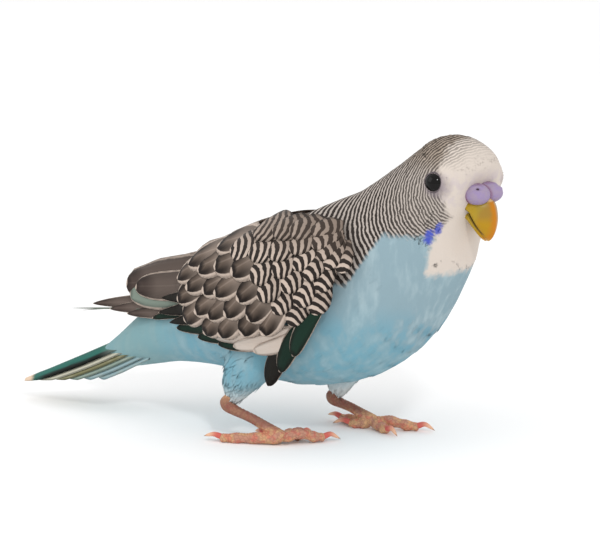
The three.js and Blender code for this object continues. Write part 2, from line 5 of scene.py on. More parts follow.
import bpy
import numpy as np
from bpy.props import FloatProperty, FloatVectorProperty, IntProperty, PointerProperty
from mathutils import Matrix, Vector


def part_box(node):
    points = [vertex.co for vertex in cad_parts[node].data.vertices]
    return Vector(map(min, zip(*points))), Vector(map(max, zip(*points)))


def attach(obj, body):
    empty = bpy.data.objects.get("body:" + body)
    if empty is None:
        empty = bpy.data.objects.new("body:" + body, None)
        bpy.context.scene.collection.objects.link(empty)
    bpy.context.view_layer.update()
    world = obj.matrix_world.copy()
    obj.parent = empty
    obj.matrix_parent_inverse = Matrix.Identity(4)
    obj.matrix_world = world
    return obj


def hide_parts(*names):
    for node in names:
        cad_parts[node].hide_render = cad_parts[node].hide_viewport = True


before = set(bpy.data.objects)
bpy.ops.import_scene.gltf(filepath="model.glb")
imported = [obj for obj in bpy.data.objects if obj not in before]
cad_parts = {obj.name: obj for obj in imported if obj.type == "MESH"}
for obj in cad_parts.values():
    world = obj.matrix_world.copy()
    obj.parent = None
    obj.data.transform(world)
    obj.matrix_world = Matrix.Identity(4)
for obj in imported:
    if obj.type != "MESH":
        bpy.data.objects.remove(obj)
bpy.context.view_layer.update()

bl_info = {
    "name": "Budgerigar",
    "version": (1, 0, 0),
    "blender": (4, 5, 0),
    "location": "3D View > Sidebar > Budgerigar",
    "description": "Dresses the packed budgerigar in skin, feathers, horn and scales",
    "category": "Object",
}

# Places below are in millimetres of the bird's own frame: x forwards, y to its left, z up.
MM = 0.001
UP = np.array([0.0, 0.0, 1.0])
HEAD_PLACE = np.array([36.5, 0.0, 69.5])
EYE_AXIS = np.array([3.5, 12.1, 2.3])  # forwards, sideways and up from the middle of the head
EYE_DEPTH = 10.75  # from the middle of the head to the middle of the eyeball
EYE_RADIUS = 2.9
FLESH_NODES = ("head", "neck", "torso", "rump", "thigh_right", "thigh_left")
SIDES = {"right": -1, "left": 1}
BODY = "root"

# The line through the middle of the flesh in side view, from the tail to the face.
BODY_LINE = [(-68, 14), (-55, 19), (-40, 24.5), (-20, 31), (4, 39), (24, 53), (34, 65), (40, 69), (50, 69)]
THIGHS = {
    "right": ((-13.0, -10.4, 24.0), (-20.4, -15.2, 8.6)),
    "left": ((4.0, 10.4, 23.0), (-1.2, 9.4, 6.8)),
}
THIGH_REACH = 7.5

# Sections of the shell that the folded wings lie on: top and bottom in side view, and half width.
WING_SHELL = [
    ((-82, 31), (-77, 12), 4.2),
    ((-60, 37.5), (-55, 8), 7.6),
    ((-44, 45.5), (-37, 6), 12.2),
    ((-28, 51), (-19, 6), 17.6),
    ((-14, 58), (-1, 6), 21.6),
    ((-1, 64.5), (18, 10), 23),
    ((12, 71), (35, 22), 22),
    ((22, 77), (44, 40), 18.6),
]
# The tail's fleshy root, in the same form.
TAIL_ROOT = [
    ((-78, 9.0), (-75, 7.0), 0.8), ((-68, 16.2), (-66, 9.2), 2.8), ((-61.5, 21.6), (-58, 10.6), 4.6),
    ((-55, 27.6), (-49.5, 12.4), 7.2), ((-45, 35.5), (-38, 14.6), 10.8), ((-30, 44), (-22, 14.4), 15.4),
]
# The flesh between the shoulders, in the same form.
MANTLE = [
    ((-26, 46.5), (-22, 36), 5), ((-20, 50.6), (-15, 36), 9), ((-14, 54.4), (-8, 38), 11.5),
    ((-8, 58.0), (-1, 40), 13), ((-2, 61.2), (6, 43), 13.5), ((4, 64.0), (12, 46), 13.5),
    ((10, 66.6), (18, 50), 13), ((15, 68.8), (22, 54), 11),
]
# The covered arm of the wing, a lens in side view.
ARM = {"x": -10.6, "z": 43.3, "half_length": 27.6, "half_height": 14.8, "slope": 17, "outer": 1.3, "inner": 4}
FAR_WING_HEIGHT = 54.6  # no covert of the far wing shows over the back
FAR_WING_FROM = -16  # ahead of this x
FAR_WING_TURN = -1.5  # degrees that the left wing is carried lower
WING_BARS_FROM = (16.0, 60.0)  # the wing's bars are arcs round this place in side view

# The head's bars are shells round a place between the eyes and the bill, in face directions.
BARS_FROM = np.array([9.5, 0.0, 0.5])
BARS_SIDE_SHARE = 0.55
BAR_NEAR, BAR_GROWTH = 0.54, 0.00088  # a bar at distance d is near + growth * d * d wide
BAR_EDGES = (0.22, 0.56)  # where a bar starts and is full on its wave from 0 to 1
BAR_LEAST, BAR_GAIN, BAR_GAIN_FROM = 0.76, 0.20, (9.0, 24.0)  # the bars darken over these distances


def unit(vector):
    vector = np.asarray(vector, float)
    return vector / np.linalg.norm(vector, axis=-1, keepdims=True)


def smoothstep(low, high, x):
    t = np.clip((np.asarray(x, float) - low) / (high - low), 0, 1)
    return t * t * (3 - 2 * t)


def node_middle(name):
    low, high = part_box(name)
    return (np.array(low) + np.array(high)) / 2 / MM


def face_directions():
    """The face's forward and left directions, and where the bird's own frame starts, from the eyes."""
    right_eye, left_eye = node_middle("eye_right"), node_middle("eye_left")
    left = unit(left_eye - right_eye)
    ahead = np.cross(left, UP)
    forward, _, up = unit(EYE_AXIS) * EYE_DEPTH
    middle = (right_eye + left_eye) / 2 - ahead * forward - UP * up
    return ahead, left, middle - HEAD_PLACE


FACE_AHEAD, FACE_LEFT, BIRD_ORIGIN = face_directions()


def on_face(forward, left, up):
    """A place on the turned head, from its middle."""
    return HEAD_PLACE + FACE_AHEAD * forward + FACE_LEFT * left + UP * up


def face_places(places):
    """Forward, left and up of places, from the middle of the head."""
    away = places - HEAD_PLACE
    return np.stack([away @ FACE_AHEAD, away @ FACE_LEFT, away[:, 2]], axis=1)


def paint(code):
    """A colour written as 0xRRGGBB, in linear light."""
    levels = [((code >> shift) & 255) / 255 for shift in (16, 8, 0)]
    linear = [c / 12.92 if c <= 0.04045 else ((c + 0.055) / 1.055) ** 2.4 for c in levels]
    return (*linear, 1.0)


def colour_property(name, description, code):
    return FloatVectorProperty(
        name=name, description=description, default=paint(code), size=4, min=0, max=1, subtype="COLOR"
    )


def length_property(name, description, default):
    return FloatProperty(name=name, description=description, default=default * MM, min=0, unit="LENGTH",
                         precision=5)


# Shades that go with the main colours. Those round the eye, in the mouth gap and in the nostril are painted
# shade.
SHADES = {
    "crown": 0x94826F, "lower body": 0x70A8B8, "rump": 0x7D9A9A, "cuff": 0xE0E0DE, "lores": 0xB9ADB8,
    "round the eye": 0x7C7178,
    "black feather": 0x1C1A16, "cream feather": 0xB9AEA4, "grey-green feather": 0x6F7A70,
    "tail streak": 0x1D4A40, "tail tip": 0xD9BFA6, "tail root": 0x8FA39C,
    "olive strip": 0x7E7C5C, "grey-green strip": 0x8A9C92, "pale blue strip": 0x8FA9AE,
    "bill cloud": 0x8A6E34, "bill edge": 0xE0C4A4, "bill tip": 0xC9BC74, "lower bill": 0xA0922C,
    "mouth gap shadow": 0x3A240E,
    "cere cloud": 0x9180AC, "cere foot": 0xD9B4A8, "nostril": 0x32161C,
    "claw": 0xE0B092, "claw point": 0x6E4A38,
    "yellow scales": 0xD3AA7C, "red scales": 0xCB6A5C, "shank": 0x7A5249, "between scales": 0x7E5244,
}


def shade(name):
    return paint(SHADES[name])


class BirdSizes(bpy.types.PropertyGroup):
    """Sizes of the coat."""

    coat_depth: length_property("Coat depth", "How far the skin lies under the tips of the body's coat", 0.6)
    face_depth: length_property("Face coat depth", "How far the skin lies under the face's tips", 0.35)
    face_spacing: length_property("Face spacing", "Least distance between the face's feathers", 0.42)
    head_spacing: length_property("Head spacing", "Least distance between the head's feathers", 0.56)
    neck_spacing: length_property("Neck spacing", "Least distance between the neck's feathers", 0.85)
    body_spacing: length_property("Body spacing", "Least distance between the body's feathers", 0.86)
    thigh_spacing: length_property("Thigh spacing", "Least distance between the thighs' feathers", 0.6)
    vane: length_property("Vane thickness", "Thickness of a feather's vane in the wings and tail", 0.16)
    seed: IntProperty(name="Seed", description="Start of every random choice", default=7, min=0)


class BirdColours(bpy.types.PropertyGroup):
    """Colours of the plumage, horn and skin."""

    mask: colour_property("Mask", "Cream white of the face and throat", 0xCDC2B8)
    bar_dark: colour_property("Head bars", "Dark bars of the head", 0x241E1B)
    bar_light: colour_property("Between bars", "Cream between the bars", 0xB3A9A1)
    sky: colour_property("Sky blue", "Blue of the breast and belly", 0x889FA8)
    deep: colour_property("Deep blue", "Deeper blue of the flanks", 0x649AAE)
    pale: colour_property("Pale blue", "Pale patches and the lower edge", 0xB4C6CA)
    cheek: colour_property("Cheek patch", "Violet-blue cheek patches", 0x4856B2)
    spot: colour_property("Throat spots", "Dark spots of the throat", 0x14120F)
    wing_dark: colour_property("Wing bars", "Dark bars of the wing", 0x0F0907)
    wing_light: colour_property("Wing edges", "Cream edges of the wing feathers", 0xBFAEA1)
    wing_brown: colour_property("Wing centres", "Grey-brown centres of the larger wing feathers", 0x62544A)
    flight_brown: colour_property("Flight brown", "Dark brown of the folded flight feathers", 0x473B36)
    flight_green: colour_property("Flight green", "Dark green of the lower flight feathers", 0x12291F)
    tail_teal: colour_property("Tail teal", "Teal of the long tail feathers", 0x28645A)
    tail_pale: colour_property("Tail pale", "Pale cream of the outer tail feathers", 0xBDBBA9)
    bill: colour_property("Bill", "Golden orange of the bill's ridge", 0xB87200)
    bill_side: colour_property("Bill sides", "Olive yellow of the bill's sides", 0xA68404)
    cere: colour_property("Cere", "Lilac of the cere", 0x9A8AA2)
    # The rim's maroon also paints the shade in the crease between the cere's lobes.
    cere_rim: colour_property("Cere rim", "Maroon where the cere meets the feathers", 0x7C4A62)
    eye: colour_property("Eye", "Dark eye", 0x050303)
    lid: colour_property("Eyelids", "Grey skin round the eye", 0x5E5559)
    leg: colour_property("Legs", "Pink-brown skin of the legs", 0xBC8A75)
    claw: colour_property("Claws", "Red roots of the claws", 0xC9645A)


class StudioSettings(bpy.types.PropertyGroup):
    """Light and floor."""

    sky_light: FloatProperty(name="Sky light", description="Strength of the light all round", default=1.0)
    key_light: FloatProperty(name="Key light", description="Power of the lamp", default=3.4, unit="POWER")
    floor: colour_property("Floor", "Pale floor", 0xFAFAFA)


# Shader expressions.
class Amount:
    """A number in a material. Sums and products of amounts add their own nodes."""

    def __init__(self, finish, socket):
        self.finish = finish
        self.socket = socket

    def maths(self, operation, *others):
        node = self.finish.node("ShaderNodeMath", {"operation": operation}, dict(enumerate((self, *others))))
        return Amount(self.finish, node.outputs[0])

    def __add__(self, other):
        return self.maths("ADD", other)

    def __sub__(self, other):
        return self.maths("SUBTRACT", other)

    def __mul__(self, other):
        return self.maths("MULTIPLY", other)

    def __truediv__(self, other):
        return self.maths("DIVIDE", other)

    def __rsub__(self, other):
        return (self * -1) + other

    __radd__ = __add__
    __rmul__ = __mul__

    def at_least(self, other):
        return self.maths("MAXIMUM", other)

    def at_most(self, other):
        return self.maths("MINIMUM", other)

    def step(self, low, high):
        """0 below low, 1 above high, and smooth between."""
        wanted = {"Value": self, "From Min": low, "From Max": high}
        node = self.finish.node("ShaderNodeMapRange", {"interpolation_type": "SMOOTHSTEP"}, wanted)
        return Amount(self.finish, node.outputs["Result"])


class Finish:
    """One material and the nodes that it is made of."""

    def __init__(self, name):
        self.material = bpy.data.materials.new(name)
        self.material.use_nodes = True
        self.tree = self.material.node_tree
        self.tree.nodes.clear()

    def node(self, kind, settings=None, inputs=None):
        made = self.tree.nodes.new(kind)
        for key, value in (settings or {}).items():
            setattr(made, key, value)
        for key, value in (inputs or {}).items():
            socket = made.inputs[key]
            source = getattr(value, "socket", value)
            if isinstance(source, bpy.types.NodeSocket):
                self.tree.links.new(source, socket)
            else:
                socket.default_value = source
        return made

    def vector(self, operation, *parts, scale=None):
        inputs = dict(enumerate(parts))
        if scale is not None:
            inputs["Scale"] = scale
        node = self.node("ShaderNodeVectorMath", {"operation": operation}, inputs)
        if operation in ("DOT_PRODUCT", "LENGTH", "DISTANCE"):
            return Amount(self, node.outputs["Value"])
        return node.outputs["Vector"]

    def mixed(self, share, first, second):
        """first where share is 0 and second where it is 1."""
        node = self.node("ShaderNodeMix", {"data_type": "RGBA"}, {0: share, 6: first, 7: second})
        return node.outputs[2]

    def noise(self, place, scale, detail=2.0, rough=0.5):
        inputs = {"Vector": place, "Scale": scale, "Detail": detail, "Roughness": rough}
        return Amount(self, self.node("ShaderNodeTexNoise", None, inputs).outputs[0])

    def place(self):
        """Where a point is, in millimetres of the bird's own frame."""
        coordinates = self.node("ShaderNodeTexCoord").outputs["Object"]
        moved = self.vector("SUBTRACT", coordinates, tuple(BIRD_ORIGIN * MM))
        return self.vector("SCALE", moved, scale=1 / MM)

    def parts(self, vector):
        node = self.node("ShaderNodeSeparateXYZ", None, {0: vector})
        return [Amount(self, out) for out in node.outputs]

    def bundle(self, x, y, z):
        return self.node("ShaderNodeCombineXYZ", None, {0: x, 1: y, 2: z}).outputs[0]

    def vane(self):
        """Across a feather from -1 to 1, and along it from 0 at the root to 1 at the tip."""
        uv = self.node("ShaderNodeUVMap", {"uv_map": "vane"}).outputs["UV"]
        across, along, _ = self.parts(uv)
        return across * 2 - 1, along

    def attribute(self, name):
        node = self.node("ShaderNodeAttribute", {"attribute_name": name})
        return Amount(self, node.outputs["Fac"])

    def towards(self, name, share, height, bump, depth):
        """A bumped normal turned part of the way to a direction kept with the mesh."""
        raised = self.node("ShaderNodeBump", None, {"Strength": bump, "Distance": depth, "Height": height})
        kept = self.node("ShaderNodeAttribute", {"attribute_name": name}).outputs["Vector"]
        spaces = {"vector_type": "NORMAL", "convert_from": "OBJECT", "convert_to": "WORLD"}
        kept = self.node("ShaderNodeVectorTransform", spaces, {0: kept}).outputs[0]
        near = self.vector("SCALE", raised.outputs[0], scale=1 - share)
        far = self.vector("SCALE", kept, scale=share)
        return self.vector("NORMALIZE", self.vector("ADD", near, far))

    def barbs(self, across, along, ratio):
        """Fine slanting ribs on both sides of a feather's shaft, as a height."""
        slant = along * ratio + across.maths("ABSOLUTE") * -0.5
        ribs = (slant * 55).maths("SINE")
        shaft = 1 - across.maths("ABSOLUTE").step(0.02, 0.07)
        return ribs * 0.5 + shaft * 2

    def surface(self, colour, roughness=0.7, height=None, bump=0.3, depth=0.1 * MM, **more):
        inputs = {"Base Color": colour, "Roughness": roughness, "Specular IOR Level": 0.12}
        if height is not None:
            relief = {"Strength": bump, "Distance": depth, "Height": height}
            raised = self.node("ShaderNodeBump", None, relief)
            inputs["Normal"] = raised.outputs[0]
        inputs.update({key.replace("_", " "): value for key, value in more.items()})
        shader = self.node("ShaderNodeBsdfPrincipled", None, inputs)
        self.node("ShaderNodeOutputMaterial", None, {"Surface": shader.outputs[0]})
        return self.material


def colours():
    return bpy.context.scene.bird_colours


def sizes():
    return bpy.context.scene.bird_sizes


def sizes_mm(name):
    return getattr(sizes(), name) / MM


# Markings that the skin and the coat share.
# Balls in face directions that make the white mask: place and radius.
MASK_UPPER = ((14.0, 0.0, 2.5), 14.5)
MASK_BIB = ((9.8, 0.0, -19.0), 15.2)
BIB_ENDS = -21.8
# EYE_SHADE places painted shade: a darker grey-lilac ring in the feathers round the eye, mostly ahead of and
# below it, standing in for their shade.
EYE_SHADE = np.array([0.8, 0.0, -0.5])  # from the eye to the middle of the shade round it
CHEEK_PATCHES = [
    ((5.6, 11.3, -8.8), 0.9), ((5.3, 11.6, -10.0), 1.05), ((4.1, 13.5, -10.6), 1.1),
    ((3.9, 13.8, -12.2), 1.2),
]
THROAT_SPOTS = [((4.6, 11.6, -19.2), 0.85), ((5.4, 10.2, -18.3), 0.5), ((4.1, 13.5, -14.6), 0.45)]
BLUE_TOP = {"slope": 1.5, "offset": 22.5, "least": 45.0, "most": 58.0}


def soft_ball(finish, place, centre, radius, soft, wobble=0.0):
    """1 inside a ball and 0 outside."""
    away = finish.vector("DISTANCE", place, centre) + wobble
    return 1 - away.step(radius - soft, radius + soft)


def face_parts(finish, place):
    """How far a place is forward, to either side and up from the middle of the head."""
    away = finish.vector("SUBTRACT", place, tuple(HEAD_PLACE))
    forward, side, up = (
        finish.vector("DOT_PRODUCT", away, tuple(way)) for way in (FACE_AHEAD, FACE_LEFT, UP)
    )
    return forward, side.maths("ABSOLUTE"), up


def mask_marking(finish, face, up, rough_edge):
    """1 on the white of the face and throat."""
    upper = soft_ball(finish, face, *MASK_UPPER, 0.9, rough_edge)
    bib = soft_ball(finish, face, *MASK_BIB, 1.0, rough_edge)
    end = (up + rough_edge).step(BIB_ENDS - 1.2, BIB_ENDS + 1.2)
    return upper.at_least(bib.at_most(end))


def head_bars(finish, place, forward, side, up, across):
    """1 on the bars of the head and neck, and the colour there with the bars."""
    c = colours()
    squeezed = finish.bundle(forward, side * BARS_SIDE_SHARE, up)
    distance = finish.vector("DISTANCE", squeezed, tuple(BARS_FROM * (1, BARS_SIDE_SHARE, 1)))
    waver = (finish.noise(place, 0.30, 2.0) - 0.5) * 1.1
    ripple = (finish.noise(place, 1.1) - 0.5) * 0.5
    warped = distance + waver + ripple
    if isinstance(across, Amount):
        warped = warped + across * across * 0.1
    root = math.sqrt(BAR_NEAR * BAR_GROWTH)
    turns = (warped * math.sqrt(BAR_GROWTH / BAR_NEAR)).maths("ARCTANGENT") * (2 * math.pi / root)
    bar = (turns.maths("SINE") * 0.5 + 0.5).step(*BAR_EDGES)
    strength = distance.step(*BAR_GAIN_FROM) * BAR_GAIN + BAR_LEAST
    crown = up.step(3.0, 9.0) * 0.6
    between = finish.mixed(crown, c.bar_light, shade("crown"))
    return bar, finish.mixed(bar * strength, between, c.bar_dark)


def body_blue(finish, place, x, z, fine_edge):
    """The blues of the breast, flanks and rump, and the white cuffs of the thighs."""
    c = colours()
    streaks = finish.vector("MULTIPLY", place, (0.30, 0.34, 0.10))
    cloud = finish.noise(streaks, 1.0, 3.0)
    low = 1 - (z + fine_edge * 2).step(8.0, 17.0)
    deep = cloud.step(0.45, 0.62) * (1 - (z - 25).maths("ABSOLUTE").step(5.0, 16.0)) * 0.6
    pale = (1 - cloud.step(0.28, 0.52)) * 0.38 + low * 0.85
    body = finish.mixed(deep, c.sky, c.deep)
    body = finish.mixed(pale.at_most(0.92), body, c.pale)
    lower = (1 - z.step(24.0, 46.0)) * (1 - x.step(18.0, 34.0))
    body = finish.mixed(lower * 0.4, body, shade("lower body"))
    rump = 1 - x.step(-52.0, -30.0)
    body = finish.mixed(rump * 0.7, body, shade("rump"))
    cuff = 1 - (z + fine_edge * 2).step(8.0, 15.0)
    return finish.mixed(cuff * 0.85, body, shade("cuff"))


def markings(finish, across=0.0):
    """The colour of the head and body at a place. across is where the point is on its own feather."""
    c = colours()
    place = finish.place()
    x, _, z = finish.parts(place)
    forward, side, up = face_parts(finish, place)
    face = finish.bundle(forward, side, up)
    rough_edge = (finish.noise(place, 0.55) - 0.5) * 3.0
    fine_edge = (finish.noise(place, 1.6) - 0.5) * 1.4

    bar, barred = head_bars(finish, place, forward, side, up, across)
    top = (x * BLUE_TOP["slope"] + BLUE_TOP["offset"]).at_least(BLUE_TOP["least"]).at_most(BLUE_TOP["most"])
    blue = 1 - (z - top + rough_edge).step(-1.0, 1.0)
    plumage = finish.mixed(blue, barred, body_blue(finish, place, x, z, fine_edge))

    lores = finish.noise(place, 0.5, 2.0).step(0.42, 0.62) * (1 - up.maths("ABSOLUTE").step(2.0, 6.0))
    white = finish.mixed(lores * 0.35, c.mask, shade("lores"))
    brow = (up + rough_edge).step(4.5, 8.5) * (1 - (forward + rough_edge).step(3.5, 11.0))
    white = finish.mixed(bar * brow * 0.62, white, c.bar_dark)
    plumage = finish.mixed(mask_marking(finish, face, up, rough_edge), plumage, white)

    # Painted shade: the feathers round the eye are darkened towards grey lilac in a soft ring.
    painted_eye_shade = soft_ball(finish, face, tuple(eye_place(1) + EYE_SHADE), 3.3, 1.1, fine_edge * 0.3)
    plumage = finish.mixed(painted_eye_shade * 0.75, plumage, shade("round the eye"))
    for balls, hue, strength, soft in ((CHEEK_PATCHES, c.cheek, 1.0, 0.6), (THROAT_SPOTS, c.spot, 0.95, 0.4)):
        for ball in balls:
            share = soft_ball(finish, face, *ball, soft, fine_edge * 0.9) * strength
            plumage = finish.mixed(share, plumage, hue)
    return plumage, place


def skin_finish():
    finish = Finish("skin under the coat")
    colour, place = markings(finish)
    height = finish.noise(place, 2.5)
    return finish.surface(colour, 0.85, height)


def coat_finish(name):
    finish = Finish(name)
    across, along = finish.vane()
    colour, _ = markings(finish, across)
    tone = finish.attribute("tone")
    light = (tone - 0.5) * 0.10 + along * 0.06 + 0.96
    colour = finish.vector("SCALE", colour, scale=light)
    normal = finish.towards("outward", 0.8, finish.barbs(across, along, 0.5), 0.2, 0.04 * MM)
    return finish.surface(colour, 0.85, Normal=normal, Specular_IOR_Level=0.1)


# Feathers of the wings.
def feather_finish(name, centre, edge, edge_mm=0.7, dark_mm=1.2, dark_share=0.9, bars=0.0, streak=0.0):
    """A feather with a pale edge, a dark band inside it, and dark bars across where bars is 1.

    The attribute spot holds how far a point is across the shaft and from the feather's tip, in mm.
    """
    c = colours()
    finish = Finish(name)
    across, along = finish.vane()
    tone = finish.attribute("tone")
    place = finish.place()
    spot = finish.node("ShaderNodeAttribute", {"attribute_name": "spot"}).outputs["Vector"]
    sideways, from_tip, _ = finish.parts(spot)
    wobble = (finish.noise(place, 0.45, 2.0) - 0.5) * 1.1
    curved = from_tip + sideways * sideways * 0.22 + wobble
    side_gap = (1 - across.maths("ABSOLUTE")) * 3.2
    gap = curved.at_most(side_gap + wobble * 0.25)
    rim = 1 - gap.step(edge_mm - 0.14, edge_mm + 0.14)
    band = 1 - gap.step(edge_mm + dark_mm * 0.4, edge_mm + dark_mm * 1.9)
    band = band * (1 - curved.step(2.5, 9.0) * 0.55) * dark_share
    colour = finish.vector("SCALE", centre[:3], scale=tone * 0.35 + 0.8)
    if streak:
        shaft = 1 - sideways.maths("ABSOLUTE").step(0.05, 0.3)
        root = curved.step(3.0, 9.0)
        colour = finish.mixed((shaft * 0.25 + root * 0.7).at_most(1) * streak, colour, edge)
    colour = finish.mixed(band, colour, c.wing_dark)
    colour = finish.mixed(rim, colour, edge)
    if bars:
        period = 2.1
        turns = (curved - 0.5) * (2 * math.pi / period)
        ripple = (finish.noise(place, 1.1, 2.0) - 0.5) * 0.9
        bar = (turns.maths("SINE") + ripple).step(-0.32, 0.08)
        _, _, z = finish.parts(place)
        dull = z.step(49.0, 58.0) * 0.5
        light = finish.mixed((curved.step(1.0, 7.0) * tone * 0.4 + dull).at_most(1), edge, centre)
        barred = finish.mixed(bar * 0.97, light, finish.mixed(dull * 0.6, c.wing_dark, centre))
        colour = finish.mixed(bars, colour, barred)
    return finish.surface(colour, 0.6, finish.barbs(across, along, 1.2), 0.3, 0.05 * MM)


# Geometry helpers.
def new_object(name, mesh):
    made = bpy.data.objects.new(name, mesh)
    bpy.context.scene.collection.objects.link(made)
    return made


def to_metres(places):
    return (np.asarray(places, float) + BIRD_ORIGIN) * MM


def mesh_from(name, places, faces, smooth=True):
    mesh = bpy.data.meshes.new(name)
    mesh.from_pydata(to_metres(places).tolist(), [], faces)
    mesh.update()
    if smooth:
        mesh.shade_smooth()
    return mesh


def read_triples(items, field, kind=float):
    """A vector that every item of a mesh has, as rows of three numbers."""
    flat = np.empty(len(items) * 3, dtype=kind)
    items.foreach_get(field, flat)
    return flat.reshape(-1, 3)


def mesh_places(mesh):
    """A mesh's vertices in millimetres of the bird's frame."""
    return read_triples(mesh.vertices, "co") / MM - BIRD_ORIGIN


def move_vertices(mesh, places):
    mesh.vertices.foreach_set("co", to_metres(places).ravel())


def add_modifier(made, kind, **settings):
    modifier = made.modifiers.new(kind.lower(), kind)
    for key, value in settings.items():
        setattr(modifier, key, value)
    return modifier


def finish_piece(made, replaces=()):
    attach(made, BODY)
    if replaces:
        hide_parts(*replaces)


def as_plain_mesh(made):
    """Turns an object's modifiers into its own mesh."""
    graph = bpy.context.evaluated_depsgraph_get()
    mesh = bpy.data.meshes.new_from_object(made.evaluated_get(graph), preserve_all_data_layers=True,
                                           depsgraph=graph)
    made.modifiers.clear()
    old = made.data
    made.data = mesh
    bpy.data.meshes.remove(old)


def joined_nodes(name, nodes, more=()):
    """One welded copy of several solids of the frame, and of other meshes."""
    places, faces = [], []
    for mesh in (*(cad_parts[node].data for node in nodes), *more):
        start = sum(map(len, places))
        places.append(read_triples(mesh.vertices, "co"))
        faces += [[start + v for v in face.vertices] for face in mesh.polygons]
    mesh = bpy.data.meshes.new(name)
    mesh.from_pydata(np.concatenate(places).tolist(), [], faces)
    for extra in more:
        bpy.data.meshes.remove(extra)
    made = new_object(name, mesh)
    add_modifier(made, "WELD", merge_threshold=0.01 * MM)
    as_plain_mesh(made)
    return made


def vertex_normals(mesh):
    return read_triples(mesh.vertex_normals, "vector")


def set_attribute(mesh, name, values, kind="FLOAT", domain="POINT"):
    layer = mesh.attributes.new(name, kind, domain)
    field = {"FLOAT": "value", "FLOAT_VECTOR": "vector"}[kind]
    layer.data.foreach_set(field, np.ascontiguousarray(values, dtype=np.float32).ravel())


def add_uv(mesh, name, values):
    layer = mesh.uv_layers.new(name=name)
    layer.uv.foreach_set("vector", np.ascontiguousarray(values, dtype=np.float32).ravel())


def corner_vertices(mesh):
    corners = np.empty(len(mesh.loops), dtype=np.int32)
    mesh.loops.foreach_get("vertex_index", corners)
    return corners


def ring_faces(count, around, start=0, turned=False):
    """Faces between rings of points, and out to one more point at each end, which follow the rings."""
    faces = []
    for r in range(count - 1):
        near, far = start + r * around, start + (r + 1) * around
        for k in range(around):
            n = (k + 1) % around
            faces.append([near + k, near + n, far + n, far + k])
    last, ends = start + (count - 1) * around, start + count * around
    for k in range(around):
        n = (k + 1) % around
        faces.append([ends, start + n, start + k])
        faces.append([ends + 1, last + k, last + n])
    return [face[:1] + face[:0:-1] for face in faces] if turned else faces


def closed_tube(name, rings, around):
    """Rings of places, closed at both ends by a middle point."""
    places = np.vstack([*rings, rings[0].mean(axis=0), rings[-1].mean(axis=0)])
    return mesh_from(name, places, ring_faces(len(rings), around))


# Smooth curves.
def smooth_path(points):
    """A smooth curve through points: at(t) with t from 0 to 1 gives places on it."""
    points = np.asarray(points, float)
    padded = np.vstack([2 * points[0] - points[1], points, 2 * points[-1] - points[-2]])
    count = len(points) - 1

    def at(t):
        scaled = np.clip(np.asarray(t, float), 0, 1) * count
        index = np.minimum(scaled.astype(int), count - 1)
        part = (scaled - index)[..., None]
        p0, p1, p2, p3 = (padded[index + k] for k in range(4))
        gap0, gap1, gap2 = (
            np.maximum(np.linalg.norm(b - a, axis=-1, keepdims=True) ** 0.5, 1e-4)
            for a, b in ((p0, p1), (p1, p2), (p2, p3))
        )
        start = ((p1 - p0) / gap0 - (p2 - p0) / (gap0 + gap1) + (p2 - p1) / gap1) * gap1
        end = ((p2 - p1) / gap1 - (p3 - p1) / (gap1 + gap2) + (p3 - p2) / gap2) * gap1
        square = -3 * p1 + 3 * p2 - 2 * start - end
        cube = 2 * p1 - 2 * p2 + start + end
        return p1 + part * (start + part * (square + part * cube))

    return at


# The skin.
SKIN_SWELL = 0.3  # the flesh grows by this before it is closed, and shrinks by it afterwards
SKIN_GRAIN = 0.62  # size of the skin's faces
SKIN_SOFTENING = 18
# The coat gets deeper between these distances from the middle of the bars.
DEEPER_COAT = (10, 34)
# Where the coat ends on the tail's root, by height over the tail's axis.
COAT_ENDS = ((-6, -73), (-3.5, -70), (-1.5, -65), (0.5, -60), (3, -63))
# Feathers keep this far from the middle of the eyeball, and out of this ellipsoid round the bill.
EYE_CLEAR = 2.72
BILL_CLEAR = ((11.6, 0.0, -5.2), (4.9, 4.5, 6.8))
SOCKET_REACH = 13.2  # from the middle of the head to its surface round the eyes
UNWRAP_BODY, UNWRAP_LEGS = 0.8, 0.82  # the body's share of the unwrap, and where the legs' part starts
THIGH_TOP = 20  # the thighs are unwrapped by themselves below this height
THIGH_COAT_TOP = 17.5
ARM_HIDDEN = 0.62  # the coat stops under this share of the wing's arm


def spread_on_body(places):
    """Where places of the skin lie on its unwrap: along the body and round it."""
    line = np.array(BODY_LINE, float)
    steps = np.linalg.norm(np.diff(line, axis=0), axis=1)
    starts = np.concatenate([[0], np.cumsum(steps)])
    flat = places[:, [0, 2]]
    best = np.full(len(places), np.inf)
    along = np.zeros(len(places))
    rise = np.zeros(len(places))
    for i, (a, b) in enumerate(zip(line[:-1], line[1:])):
        ahead = (b - a) / steps[i]
        t = np.clip((flat - a) @ ahead, 0, steps[i])
        off = flat - a - t[:, None] * ahead
        distance = np.linalg.norm(off, axis=1)
        nearer = distance < best
        best = np.where(nearer, distance, best)
        along = np.where(nearer, starts[i] + t, along)
        rise = np.where(nearer, off @ np.array([-ahead[1], ahead[0]]), rise)
    angle = np.arctan2(places[:, 1], rise)
    uv = np.stack([along / starts[-1] * UNWRAP_BODY, 0.5 + angle / (2 * math.pi)], axis=1)
    for number, (top, end) in enumerate(THIGHS.values()):
        t, off = along_thigh(places, np.array(top), np.array(end))
        on_leg = (np.linalg.norm(off, axis=1) < THIGH_REACH) & (places[:, 2] < THIGH_TOP) & (t > 0.2)
        angle = np.arctan2(off[:, 1], off[:, 0])
        leg_u, leg_v = UNWRAP_LEGS + 0.17 * t, 0.25 + 0.5 * number + 0.24 * angle / math.pi
        leg = np.stack([leg_u, leg_v], axis=1)
        uv = np.where(on_leg[:, None], leg, uv)
    return uv


def along_thigh(places, top, end):
    reach = end - top
    t = ((places - top) @ reach) / (reach @ reach)
    return t, places - top - np.clip(t, 0, 1)[:, None] * reach


